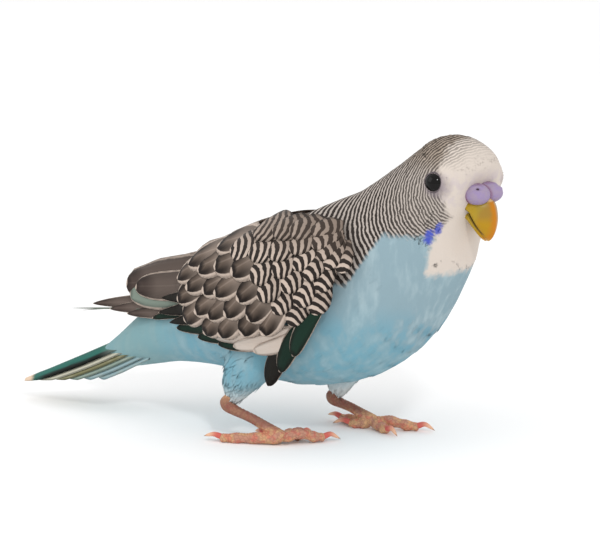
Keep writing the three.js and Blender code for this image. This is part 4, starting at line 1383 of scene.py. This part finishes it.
def make_wing(name, side, materials, seed):
    batch = FeatherBatch()
    rng = np.random.default_rng(seed)
    flight_feathers(batch, side, rng)
    covert_feathers(batch, side, rng)
    upper_feathers(batch, side, rng)
    mesh = batch.mesh(f"plumage_wing_{name}", materials, side < 0)
    return new_object(f"plumage_wing_{name}", mesh)


# The tail.
TAIL = {"root": (-50.0, 19.4), "tip": (-89.0, 3.9), "pairs": 6, "width": 6.2, "shortest": 0.42, "drop": 0.26,
        "spread": 3.0, "rise": 1.9, "root_rise": 3.0, "slope": 0.85, "step": 0.42}
TOP_TAIL, SIDE_TAIL = range(2)


def tail_feathers(batch):
    root = np.array([TAIL["root"][0], 0, TAIL["root"][1]])
    tip = np.array([TAIL["tip"][0], 0, TAIL["tip"][1]])
    reach = np.linalg.norm(tip - root)
    back = (tip - root) / reach
    up = np.array([back[2], 0, -back[0]])
    for pair in range(TAIL["pairs"]):
        for side in (-1, 1):
            layer = pair + (0.8 if pair > 0 or side > 0 else 0)
            share = pair / (TAIL["pairs"] - 1)
            length = reach * (1 + (TAIL["shortest"] - 1) * share)
            middle_at = 0.6 + TAIL["step"] * pair
            fan = math.tan(math.radians(TAIL["spread"])) * share
            root_rise = TAIL["root_rise"] * (1 - share)

            def half_at(t):
                point = 0.2 + 0.8 * np.clip((1 - t) / 0.16, 0, 1) ** 0.6
                return TAIL["width"] / 2 * (0.8 + 0.2 * np.minimum(1, t * 2)) * point

            def middle(t, j, rise, side=side, layer=layer, length=length, middle_at=middle_at, fan=fan,
                       root_rise=root_rise):
                y = side * (middle_at + fan * length * t) + j * half_at(t)
                sag = -TAIL["drop"] * layer * (0.75 + 0.25 * t)
                roof = -TAIL["slope"] * np.maximum(np.abs(y), 0.3) * (1 - 0.5 * (t * length / reach) ** 3)
                height = TAIL["rise"] + roof + sag + root_rise * (1 - t * length / reach) + rise
                place = root + back * (length * t)[..., None] + up * height[..., None]
                place[..., 1] = y
                return place

            def spot(t, j, length=length):
                return half_at(t) * j, (1 - t) * length

            batch.add(middle, spot, 30, 6, TOP_TAIL if pair == 0 else SIDE_TAIL, share)


def top_tail_finish():
    c = colours()
    finish = Finish("long tail feathers")
    across, along = finish.vane()
    place = finish.place()
    _, y, _ = finish.parts(place)
    streak = finish.noise(finish.vector("MULTIPLY", place, (0.15, 1.2, 0.15)), 1.0, 3.0)
    dark = (y.maths("ABSOLUTE") + streak).step(2.4, 3.3) * (1 - along.step(0.80, 0.92) * 0.7)
    colour = finish.mixed(streak.step(0.45, 0.75) * 0.5, c.tail_teal, shade("tail streak"))
    colour = finish.mixed(dark * 0.95, colour, c.wing_dark)
    tip = (along + (finish.noise(place, 0.8) - 0.5) * 0.05).step(0.90, 0.95)
    colour = finish.mixed(tip, colour, shade("tail tip"))
    root = 1 - along.step(0.16, 0.40)
    colour = finish.mixed(root * 0.8, colour, shade("tail root"))
    return finish.surface(colour, 0.5, finish.barbs(across, along, 4.0), 0.12, 0.03 * MM)


def side_tail_finish():
    """The pairs under the long ones: cream, then olive and grey-green, then pale blue."""
    c = colours()
    finish = Finish("outer tail feathers")
    across, along = finish.vane()
    place = finish.place()
    side = across.maths("ABSOLUTE")
    tone = finish.attribute("tone")
    streak = finish.noise(finish.vector("MULTIPLY", place, (0.1, 1.0, 0.8)), 1.0, 3.0)
    colour = finish.mixed(tone.step(0.25, 0.35), c.tail_pale, shade("olive strip"))
    colour = finish.mixed(tone.step(0.45, 0.55), colour, shade("grey-green strip"))
    colour = finish.mixed(tone.step(0.65, 0.75), colour, shade("pale blue strip"))
    colour = finish.mixed(streak.step(0.45, 0.7) * 0.35, colour, c.tail_pale)
    line = side.step(0.80, 0.92) * (1 - side.step(0.93, 0.99))
    colour = finish.mixed(line * (0.5 - tone * 0.4), colour, c.flight_green)
    return finish.surface(colour, 0.5, finish.barbs(across, along, 4.0), 0.12, 0.03 * MM)


# Bill, cere and eyes.
UPPER_BILL = [
    (5.0, -3.4, 5.4, 1.9),
    (8.0, -3.6, 5.8, 2.0),
    (10.3, -4.4, 5.6, 2.6),
    (11.3, -6.3, 5.2, 2.5),
    (11.9, -8.3, 4.5, 2.1),
    (12.1, -10.4, 3.2, 1.6),
    (11.9, -12.2, 1.7, 0.95),
    (11.65, -13.2, 0.3, 0.2),
]
LOWER_BILL = [
    (5.0, -6.2, 3.4, 1.5),
    (7.5, -7.2, 3.8, 1.5),
    (9.2, -9.2, 3.3, 1.4),
    (10.2, -11.2, 2.3, 1.1),
    (10.7, -12.6, 1.2, 0.7),
    (10.9, -13.3, 0.3, 0.2),
]
CERE = {"forward": 9.0, "side": 1.9, "up": -1.25, "radii": (4.5, 3.35, 2.8), "turn": 18}
NOSTRIL_WAY = np.array([0.66, 0.34, 0.65])


def bill_mesh(name, rings, rows=44, around=48, ridge=0.0, taper=0.0):
    """A bill half. taper narrows its section from the cutting edge to the ridge."""
    path = smooth_path(rings)
    stations = path(np.linspace(0, 1, rows + 1))
    ahead = np.gradient(stations[:, :2], axis=0)
    ahead = ahead / np.linalg.norm(ahead, axis=1, keepdims=True)
    angles = np.linspace(0, 2 * math.pi, around, endpoint=False)
    made = []
    for (forward, up, wide, deep), (step_f, step_u) in zip(stations, ahead):
        c, s = np.cos(angles), np.sin(angles)
        bulge = 1 + ridge * np.exp(-((angles - math.pi / 2) / 0.35) ** 2)
        power = 0.9 - 0.45 * (taper > 0) * smoothstep(0.1, -0.6, s)
        side = wide * np.sign(c) * np.abs(c) ** power * (1 - taper * (1 + s))
        out = deep * s * bulge
        normal_f, normal_u = -step_u, step_f
        made.append(np.stack([
            on_face(forward + normal_f * o, w, up + normal_u * o) for o, w in zip(out, side)
        ]))
    return closed_tube(name, made, around)


def bill_finish():
    """Golden orange along the ridge, olive at the sides, grey-brown above, a pale top edge, and a painted
    shadow along the mouth's gap.
    """
    c = colours()
    finish = Finish("bill horn")
    place = finish.place()
    forward, side, up = face_parts(finish, place)
    cloud = finish.noise(place, 0.6, 3.0)
    flank = (side + cloud).step(0.9, 2.6)
    colour = finish.mixed(flank * 0.8, c.bill, c.bill_side)
    brown = (up + cloud).step(-8.2, -5.6) * (side + cloud).step(0.8, 2.0) * (1 - side.step(3.2, 4.4))
    colour = finish.mixed(brown * 0.6, colour, shade("bill cloud"))
    edge = (up + side * 0.12 + cloud * 0.4).step(-2.9, -2.4)
    colour = finish.mixed(edge * 0.75, colour, shade("bill edge"))
    low = 1 - (up + cloud).step(-13.2, -11.6)
    colour = finish.mixed(low * 0.5, colour, shade("bill tip"))
    under = 1 - (forward + up * -0.35 + cloud * 0.5).step(13.2, 14.4)
    colour = finish.mixed(under * 0.4, colour, shade("lower bill"))
    # Painted shadow: a dark brown line where the upper bill meets the face and the lower bill, standing in
    # for the shade in that gap.
    gape_shadow = forward + up * 0.6 + cloud * 0.1
    gape_shadow = gape_shadow.step(3.9, 4.5) * (1 - gape_shadow.step(4.8, 5.3)) * up.step(-12.0, -10.8)
    colour = finish.mixed(gape_shadow * 0.85, colour, shade("mouth gap shadow"))
    grain = finish.noise(finish.vector("MULTIPLY", place, (2.0, 2.0, 0.5)), 1.0, 4.0)
    return finish.surface(colour, 0.35, grain, 0.2, 0.06 * MM, Specular_IOR_Level=0.25)


def cere_mesh():
    places, faces = [], []
    around, rings = 56, 36
    for side in SIDES.values():
        start = sum(map(len, places))
        theta = np.linspace(0, math.pi, rings + 1)[1:-1]
        phi = np.linspace(0, 2 * math.pi, around, endpoint=False)
        tt, pp = np.meshgrid(theta, phi, indexing="ij")
        ball = np.stack([np.sin(tt) * np.cos(pp), np.sin(tt) * np.sin(pp), np.cos(tt)], axis=-1)
        ball = ball.reshape(-1, 3)
        ball = np.vstack([ball, [0, 0, 1], [0, 0, -1]])
        nostril = unit(NOSTRIL_WAY * (1, side, 1))
        level = unit(np.cross(nostril, UP))
        gap = ball - nostril
        gap = np.sqrt(np.sum(gap**2, axis=1) - 0.72 * (gap @ level) ** 2)
        shrink = 1 - 0.20 * np.exp(-((gap / 0.10) ** 2)) + 0.05 * np.exp(-(((gap - 0.26) / 0.12) ** 2))
        shaped = ball * shrink[:, None] * CERE["radii"]
        turn = math.radians(side * CERE["turn"])
        f = shaped[:, 0] * math.cos(turn) - shaped[:, 1] * math.sin(turn)
        w = shaped[:, 0] * math.sin(turn) + shaped[:, 1] * math.cos(turn)
        local = np.stack([f + CERE["forward"], w + side * CERE["side"], shaped[:, 2] + CERE["up"]], axis=1)
        places.append(HEAD_PLACE + local[:, :1] * FACE_AHEAD + local[:, 1:2] * FACE_LEFT + local[:, 2:] * UP)
        faces += ring_faces(rings - 1, around, start, turned=True)
    return mesh_from("cere", np.vstack(places), faces)


def cere_finish():
    c = colours()
    finish = Finish("cere skin")
    place = finish.place()
    forward, side, up = face_parts(finish, place)
    cloud = finish.noise(place, 0.7, 3.0)
    colour = finish.mixed(cloud.step(0.4, 0.65) * 0.6, c.cere, shade("cere cloud"))
    rim = (up + cloud * 0.8).step(1.5, 2.3).at_least(1 - (forward + cloud * 0.8 + up * 0.2).step(8.3, 9.5))
    colour = finish.mixed(rim * 0.85, colour, c.cere_rim)
    # Painted shade: the crease where the two lobes meet is darkened half way to the rim's maroon.
    crease_shade = 1 - side.step(0.1, 0.7)
    colour = finish.mixed(crease_shade * 0.5, colour, c.cere_rim)
    low = 1 - (up + cloud * 0.5).step(-3.6, -3.0)
    colour = finish.mixed(low * 0.5, colour, shade("cere foot"))
    # Painted shade: the nostril's opening is only a shallow dent, painted near black for the shade inside it.
    nostril = soft_ball(finish, finish.bundle(forward, side, up), nostril_place(), 0.42, 0.2)
    colour = finish.mixed(nostril * 0.9, colour, shade("nostril"))
    return finish.surface(colour, 0.45, cloud, 0.25, 0.12 * MM)


def nostril_place():
    """Where the nostril is on the left lobe of the cere, in face directions."""
    local = unit(NOSTRIL_WAY) * 0.84 * np.array(CERE["radii"])
    turn = math.radians(CERE["turn"])
    return (
        float(local[0] * math.cos(turn) - local[1] * math.sin(turn) + CERE["forward"]),
        float(local[0] * math.sin(turn) + local[1] * math.cos(turn) + CERE["side"]),
        float(local[2] + CERE["up"]),
    )


def ball_mesh(name, centre, radius, around=48, rings=32):
    theta = np.linspace(0, math.pi, rings + 1)[1:-1]
    phi = np.linspace(0, 2 * math.pi, around, endpoint=False)
    made = [
        centre + radius * np.stack([math.sin(t) * np.cos(phi), math.sin(t) * np.sin(phi),
                                    np.full(around, math.cos(t))], axis=1)
        for t in theta[::-1]
    ]
    return closed_tube(name, made, around)


# The lids in section: distance from the eye's axis, and height over the middle of the eyeball.
LID_SECTION = [
    (2.28, 1.72), (2.3, 1.86), (2.38, 1.93), (2.48, 1.9), (2.58, 1.8), (2.7, 1.7), (2.84, 1.55), (2.96, 1.36),
    (2.96, 1.1), (2.7, 1.0), (2.45, 1.2),
]


def lid_mesh(name, side):
    """A wrinkled ring of bare skin round the eye."""
    axis, first, second = eye_directions(side)
    centre = on_face(*eye_place(side))
    around, across = 96, len(LID_SECTION)
    places = []
    for k in range(around):
        angle = 2 * math.pi * k / around
        out = first * math.cos(angle) * 0.93 + second * math.sin(angle) * 1.03
        for radius, height in LID_SECTION:
            wrinkle = 0.035 * math.sin(angle * 30 + radius * 9) * smoothstep(2.3, 2.7, radius)
            places.append(centre + out * radius + axis * (height + wrinkle))
    faces = []
    for k in range(around):
        for m in range(across):
            n, p = (k + 1) % around, (m + 1) % across
            faces.append([k * across + m, k * across + p, n * across + p, n * across + m])
    return mesh_from(name, places, faces)


def plain_finish(name, colour, roughness, scale=2.0, bump=0.2, depth=0.1, **more):
    finish = Finish(name)
    place = finish.place()
    height = finish.noise(place, scale, 3.0)
    shaded = finish.vector("SCALE", colour[:3], scale=height * 0.3 + 0.85)
    return finish.surface(shaded, roughness, height, bump, depth * MM, **more)


def eye_finish():
    finish = Finish("dark eye")
    return finish.surface(colours().eye, 0.03, Specular_IOR_Level=0.2)


# The legs: the ankle and the ball of the foot, and the toes with their heading, length, arch and claw tip.
LEGS = {
    "right": {
        "ankle": (-20.4, -15.2, 8.6), "ball": (-4.6, -16.4, 2.4),
        "toes": [(150, 7.5, 0.4, 1.3), (76, 8.5, 1.2, 0.5), (42, 11.4, 1.8, 0.5), (-167, 16, 0.5, 1.5)],
    },
    "left": {
        "ankle": (-1.2, 9.4, 6.8), "ball": (9.8, 9.2, 2.4),
        "toes": [(-168, 6, 0.3, 1.0), (-32, 7, 0.6, 0.5), (12, 12.2, 1.2, 0.5), (165, 10.5, 0.5, 1.5)],
    },
}
TOE_HEIGHT = 1.1
CLAW_LENGTH = 4.6
FOOT_GRAIN = 0.15  # size of the feet's faces


def tube_rings(points, rows, around, size, across):
    """Rings along a curve: size(t, angles) gives how far out each point of a ring is."""
    path = smooth_path(points)
    t = np.linspace(0, 1, rows + 1)
    middles = path(t)
    ways = unit(np.gradient(middles, axis=0))
    angles = np.linspace(0, 2 * math.pi, around, endpoint=False)
    rings = []
    for share, middle, way in zip(t, middles, ways):
        side = unit(across - way * (across @ way))
        up = np.cross(way, side)
        up = up if up[2] > 0 else -up
        out = side * np.cos(angles)[:, None] + up * np.sin(angles)[:, None]
        rings.append(middle + out * np.broadcast_to(size(share, angles), angles.shape)[:, None])
    return rings


def rounded(t, length, end=1.5):
    """Closes a tube with round ends, in shares of its length."""
    near = np.clip(np.minimum(t, 1 - t) * length / end, 0, 1)
    return max(math.sqrt(1 - (1 - near) ** 2), 0.08)


def scutes(t, angles, length, gap, depth):
    """Overlapping plates across the upper side of a toe or shank."""
    saw = (t * length / gap) % 1
    return depth * (1 - saw) * np.clip(np.sin(angles) + 0.45, 0, 1)


def toe_places(leg, toe):
    turn = math.radians(toe[0])
    ahead = np.array([math.cos(turn), math.sin(turn), 0])
    ball = np.array([leg["ball"][0], leg["ball"][1], 0])
    return ahead, np.array([-ahead[1], ahead[0], 0]), lambda far, high: ball + ahead * far + UP * high


def toe_rings(leg, toe):
    _, length, arch, _ = toe
    _, across, at = toe_places(leg, toe)
    points = [
        at(0.2, TOE_HEIGHT + 0.7), at(length * 0.4, TOE_HEIGHT + arch),
        at(length * 0.75, TOE_HEIGHT + arch * 0.35), at(length + 0.5, TOE_HEIGHT),
    ]

    def size(t, angles):
        pad = np.clip(-np.sin(angles), 0, 1) * 0.22 * (0.5 - 0.5 * math.cos(t * 7 * math.pi))
        knuckle = 0.12 * math.cos(t * 6 * math.pi)
        plain = 1.5 - 0.38 * t + knuckle + pad + scutes(t, angles, length, 0.7, 0.14)
        return plain * rounded(t, length)

    return tube_rings(points, int(length * 9), 28, size, across)


def shank_rings(leg):
    ankle, ball = np.array(leg["ankle"]), np.array(leg["ball"])
    middle = (ankle + ball) / 2 + (0, 0, 0.2)
    points = [ankle + (1.2, 0, 3.6), ankle + (-0.3, 0, 0.4), middle, ball + (0.9, 0, -0.5)]

    def size(t, angles):
        knob = 0.72 * math.exp(-(((t - 0.3) / 0.13) ** 2)) + 0.4 * math.exp(-(((t - 1) / 0.2) ** 2))
        return (1.22 + knob + scutes(t, angles, 24, 0.9, 0.12)) * rounded(t, 24, 0.7)

    return tube_rings(points, 190, 32, size, np.array([0.0, 1.0, 0.0]))


def foot_object(name, leg):
    """Shank and toes grown together, flat under the toes."""
    parts = [closed_tube("shank", shank_rings(leg), 32)]
    parts += [closed_tube("toe", toe_rings(leg, toe), 28) for toe in leg["toes"]]
    foot = joined_nodes(name, (), parts)
    add_modifier(foot, "REMESH", mode="VOXEL", voxel_size=FOOT_GRAIN * MM)
    add_modifier(foot, "SMOOTH", iterations=2)
    as_plain_mesh(foot)
    places = mesh_places(foot.data)
    places[:, 2] = np.maximum(places[:, 2], 0.02)
    move_vertices(foot.data, places)
    foot.data.shade_smooth()
    return foot


def claw_mesh(name, leg, toe):
    _, length, _, low = toe
    _, across, at = toe_places(leg, toe)
    start, high = length + 0.1, TOE_HEIGHT + 0.9
    points = [
        at(start, TOE_HEIGHT + 0.4), at(start + CLAW_LENGTH * 0.4, high),
        at(start + CLAW_LENGTH * 0.78, high * 0.4 + low * 0.6), at(start + CLAW_LENGTH, low - 0.1),
    ]
    rows, around = 24, 18
    rings = tube_rings(points, rows, around, lambda t, _: max(0.04, 0.8 * (1 - t**1.5)), across)
    mesh = closed_tube(name, rings, around)
    along = np.append(np.repeat(np.linspace(0, 1, rows + 1), around), (0, 1))
    set_attribute(mesh, "tone", along)
    return mesh


def claw_finish():
    """Red at the root, paler along the claw and brown at its point."""
    finish = Finish("claw horn")
    place = finish.place()
    along = finish.attribute("tone")
    colour = finish.mixed(along.step(0.15, 0.6), colours().claw, shade("claw"))
    colour = finish.mixed(along.step(0.72, 0.95) * 0.8, colour, shade("claw point"))
    return finish.surface(colour, 0.35, finish.noise(place, 1.5), 0.2, 0.05 * MM)


def leg_finish():
    c = colours()
    finish = Finish("scaly leg skin")
    place = finish.place()
    inputs = {"Vector": place, "Scale": 0.95}
    cells = finish.node("ShaderNodeTexVoronoi", {"feature": "DISTANCE_TO_EDGE"}, inputs)
    ridge = Amount(finish, cells.outputs["Distance"])
    cloud = finish.noise(place, 0.4, 3.0)
    patch = finish.noise(place, 0.75, 3.0)
    _, _, z = finish.parts(place)
    colour = finish.mixed(cloud.step(0.42, 0.58) * 0.75, c.leg, shade("yellow scales"))
    colour = finish.mixed(patch.step(0.48, 0.62) * 0.6, colour, shade("red scales"))
    shank = (z + patch * 2).step(4.2, 6.5) * (1 - z.step(9.5, 12.0) * 0.6)
    colour = finish.mixed(shank * 0.75, colour, shade("shank"))
    groove = 1 - ridge.step(0.02, 0.16)
    colour = finish.mixed(groove * 0.32, colour, shade("between scales"))
    return finish.surface(colour, 0.5, ridge.at_most(0.25), 0.8, 0.5 * MM)


# The pieces.
class SkinPiece(bpy.types.Operator):
    """One skin over the flesh, without seams"""

    bl_idname = "bird.skin"
    bl_label = "Skin"

    def execute(self, context):
        made = make_skin()
        finish_piece(made, FLESH_NODES)
        return {"FINISHED"}


# The name and region of each coat, its feather's shape, the spacing's name, the length and width of a
# feather, its lift, turn and depth in the skin, and the coat's slot.
COATS = [
    ("face_coat", "face coat", "fine", "face_spacing", 1.5, 0.6, 4.5, 12, 0.08, "head_plumage"),
    ("head_coat", "head coat", "fine", "head_spacing", 2.5, 1.15, 3.5, 7, 0.1, "head_plumage"),
    ("neck_coat", "neck coat", "straight", "neck_spacing", 4.0, 1.7, 2.6, 6, 0.15, "neck_plumage"),
    ("breast_coat", "breast coat", "bent", "body_spacing", 4.6, 1.4, 1.9, 6, 0.12, "body_plumage"),
    ("belly_coat", "belly coat", "bent", "body_spacing", 4.8, 1.4, 1.9, 6, 0.12, "body_plumage"),
    ("thigh_coat", "thigh coat", "straight", "thigh_spacing", 3.6, 0.85, 3.2, 8, 0.12, "body_plumage"),
]


class CoatPieces(bpy.types.Operator):
    """Small feathers of the face, head, neck, breast, belly and thighs"""

    bl_idname = "bird.coat"
    bl_label = "Coat"

    def execute(self, context):
        skin = bpy.data.objects["skin"]
        rng = np.random.default_rng(sizes().seed)
        tree = coat_tree()
        shapes = {
            "fine": [vane_mesh(f"small vane {k}", 3, 2, rng, 0.12, 0.16) for k in range(3)],
            "straight": [vane_mesh(f"neck vane {k}", 4, 4, rng, 0.2, 0.14) for k in range(3)],
            "bent": [vane_mesh(f"soft vane {k}", 4, 4, rng, 0.24, 0.31) for k in range(3)],
        }
        finish = coat_finish("small feathers")
        for number, (name, region, shape, spacing, length, width, lift, turn, sink, slot) in enumerate(COATS):
            made = make_coat(
                name, skin, region, tree, shapes[shape], finish, sizes_mm(spacing), length, width, lift, turn,
                sink, sizes().seed + number,
            )
            finish_piece(made)
        for feather in sum(shapes.values(), []):
            bpy.data.objects.remove(feather)
        return {"FINISHED"}


class WingPieces(bpy.types.Operator):
    """Coverts, flight feathers and alula of both folded wings"""

    bl_idname = "bird.wings"
    bl_label = "Wings"

    def execute(self, context):
        c = colours()
        edge = c.wing_light
        finishes = [
            feather_finish("barred wing coverts", c.wing_brown, edge, bars=1.0),
            feather_finish("edged wing feathers", c.wing_brown, edge, 0.85, 1.3, 0.95, streak=0.45),
            feather_finish("flight feathers", c.flight_brown, edge, 0.34, 1.2, 0.5, streak=0.15),
            feather_finish("green flight feathers", c.flight_green, edge, 0.3, 1.0, 0.7),
            feather_finish("black feathers", shade("black feather"), edge, 0.16, 1.0, 0.8),
            feather_finish("cream feathers", shade("cream feather"), edge, 0.5, 0.5, 0.35, streak=0.6),
            feather_finish("grey-green feathers", shade("grey-green feather"), edge, 0.4, 0.6, 0.4),
        ]
        for name, side in SIDES.items():
            made = make_wing(name, side, finishes, sizes().seed)
            finish_piece(made, [f"wing_{name}"])
            bed = new_object(f"wing_bed_{name}", wing_bed(side))
            bed.data.materials.append(plain_finish("down under the coverts", c.wing_brown, 0.9))
            finish_piece(bed)
        return {"FINISHED"}


class TailPieces(bpy.types.Operator):
    """The stepped tail"""

    bl_idname = "bird.tail"
    bl_label = "Tail"

    def execute(self, context):
        batch = FeatherBatch()
        tail_feathers(batch)
        mesh = batch.mesh("plumage_tail", [top_tail_finish(), side_tail_finish()], True)
        made = new_object("plumage_tail", mesh)
        finish_piece(made, ["tail"])
        return {"FINISHED"}


class FacePieces(bpy.types.Operator):
    """Bill, cere, eyes and eyelids"""

    bl_idname = "bird.face"
    bl_label = "Face"

    def execute(self, context):
        c = colours()
        horn = bill_finish()
        for name, rings, ridge, taper in (("upper", UPPER_BILL, 0.06, 0.3), ("lower", LOWER_BILL, 0.0, 0.0)):
            made = new_object(f"horn_bill_{name}", bill_mesh(f"bill {name}", rings, ridge=ridge, taper=taper))
            made.data.materials.append(horn)
            finish_piece(made, [f"bill_{name}"])
        made = new_object("waxy_cere", cere_mesh())
        made.data.materials.append(cere_finish())
        finish_piece(made, ["cere"])
        glossy = eye_finish()
        lid = plain_finish("eyelid skin", c.lid, 0.55, 3.0)
        for name, side in SIDES.items():
            eye = new_object(f"eyeball_{name}", ball_mesh("eyeball", on_face(*eye_place(side)), EYE_RADIUS))
            eye.data.materials.append(glossy)
            finish_piece(eye, [f"eye_{name}"])
            ring = new_object(f"lids_{name}", lid_mesh("lids", side))
            ring.data.materials.append(lid)
            finish_piece(ring, [f"eyelids_{name}"])
        return {"FINISHED"}


class FeetPieces(bpy.types.Operator):
    """Scaly shanks, toes and claws"""

    bl_idname = "bird.feet"
    bl_label = "Feet"

    def execute(self, context):
        scaly = leg_finish()
        horn = claw_finish()
        for name, leg in LEGS.items():
            nodes = [f"shank_{name}", *(f"toe_{name}_{k}" for k in (1, 2, 3, 4))]
            foot = foot_object(f"foot_{name}", leg)
            foot.data.materials.append(scaly)
            finish_piece(foot, nodes)
            for number, toe in enumerate(leg["toes"], 1):
                claw = new_object(f"horn_claw_{name}_{number}", claw_mesh("claw", leg, toe))
                claw.data.materials.append(horn)
                finish_piece(claw, [f"claw_{name}_{number}"])
        return {"FINISHED"}


CAMERA = {"azimuth": 25, "elevation": 12, "distance": 900, "right": -6.3, "up": 42.4, "focal": 205.2}
# Name, place and width in metres, and share of the key light's power.
LAMPS = [("key", (0.62, -0.72, 0.85), 0.13, 1.0), ("fill", (-0.7, -0.6, 0.6), 0.7, 0.5)]
LAMPS_AIM = (0, 0, 0.045)


def studio_floor(studio):
    size = 6.0
    corners = [(-size, -size, 0), (size, -size, 0), (size, size, 0), (-size, size, 0)]
    mesh = bpy.data.meshes.new("floor")
    mesh.from_pydata(corners, [], [(0, 1, 2, 3)])
    mesh.materials.append(Finish("pale floor").surface(studio.floor, 0.9))
    return new_object("floor", mesh)


def studio_sky(scene, studio):
    world = bpy.data.worlds.new("studio")
    world.use_nodes = True
    background = world.node_tree.nodes["Background"]
    background.inputs["Color"].default_value = (1, 1, 1, 1)
    background.inputs["Strength"].default_value = studio.sky_light
    scene.world = world


def studio_lamps(scene, studio):
    lamps = []
    for name, place, width, power in LAMPS:
        data = bpy.data.lights.new(name, "AREA")
        data.size = width
        data.energy = studio.key_light * power
        lamp = bpy.data.objects.new(name, data)
        scene.collection.objects.link(lamp)
        lamp.location = place
        lamp.rotation_euler = (Vector(LAMPS_AIM) - lamp.location).to_track_quat("-Z", "Y").to_euler()
        lamps.append(lamp)
    return lamps


def studio_camera(scene):
    azimuth, elevation = (math.radians(CAMERA[k]) for k in ("azimuth", "elevation"))
    right = np.array([math.cos(azimuth), math.sin(azimuth), 0])
    level = math.cos(elevation)
    back = np.array([math.sin(azimuth) * level, -math.cos(azimuth) * level, math.sin(elevation)])
    aim = right * CAMERA["right"] + np.cross(back, right) * CAMERA["up"]
    data = bpy.data.cameras.new("camera")
    data.lens = CAMERA["focal"]
    data.sensor_width = 36
    camera = bpy.data.objects.new("camera", data)
    scene.collection.objects.link(camera)
    camera.location = to_metres(aim + back * CAMERA["distance"])
    camera.rotation_mode = "QUATERNION"
    camera.rotation_quaternion = Vector(-back).to_track_quat("-Z", "Y")
    scene.camera = camera


class StagePiece(bpy.types.Operator):
    """Floor, soft light and camera"""

    bl_idname = "bird.stage"
    bl_label = "Stage"

    def execute(self, context):
        studio = context.scene.bird_studio
        floor = studio_floor(studio)
        studio_sky(context.scene, studio)
        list(studio_lamps(context.scene, studio))
        studio_camera(context.scene)
        context.scene.view_settings.view_transform = "Standard"
        return {"FINISHED"}


class BirdPanel(bpy.types.Panel):
    """Lists the pieces of the bird"""

    bl_idname = "VIEW3D_PT_bird"
    bl_label = "Budgerigar"
    bl_space_type = "VIEW_3D"
    bl_region_type = "UI"
    bl_category = "Budgerigar"

    def draw(self, context):
        for piece in PIECES:
            self.layout.operator(piece.bl_idname)
        for group in (context.scene.bird_sizes, context.scene.bird_colours, context.scene.bird_studio):
            for name in group.bl_rna.properties.keys():
                if name not in ("rna_type", "name"):
                    self.layout.prop(group, name)


PIECES = (SkinPiece, CoatPieces, WingPieces, TailPieces, FacePieces, FeetPieces, StagePiece)
GROUPS = {"bird_sizes": BirdSizes, "bird_colours": BirdColours, "bird_studio": StudioSettings}


def register():
    for kind in (*GROUPS.values(), *PIECES, BirdPanel):
        bpy.utils.register_class(kind)
    for name, kind in GROUPS.items():
        setattr(bpy.types.Scene, name, PointerProperty(type=kind))


def unregister():
    for name in GROUPS:
        delattr(bpy.types.Scene, name)
    for kind in reversed((*GROUPS.values(), *PIECES, BirdPanel)):
        bpy.utils.unregister_class(kind)


def main():
    register()
    for piece in PIECES:
        area, name = piece.bl_idname.split(".")
        getattr(getattr(bpy.ops, area), name)()


if __name__ == "__main__":
    main()
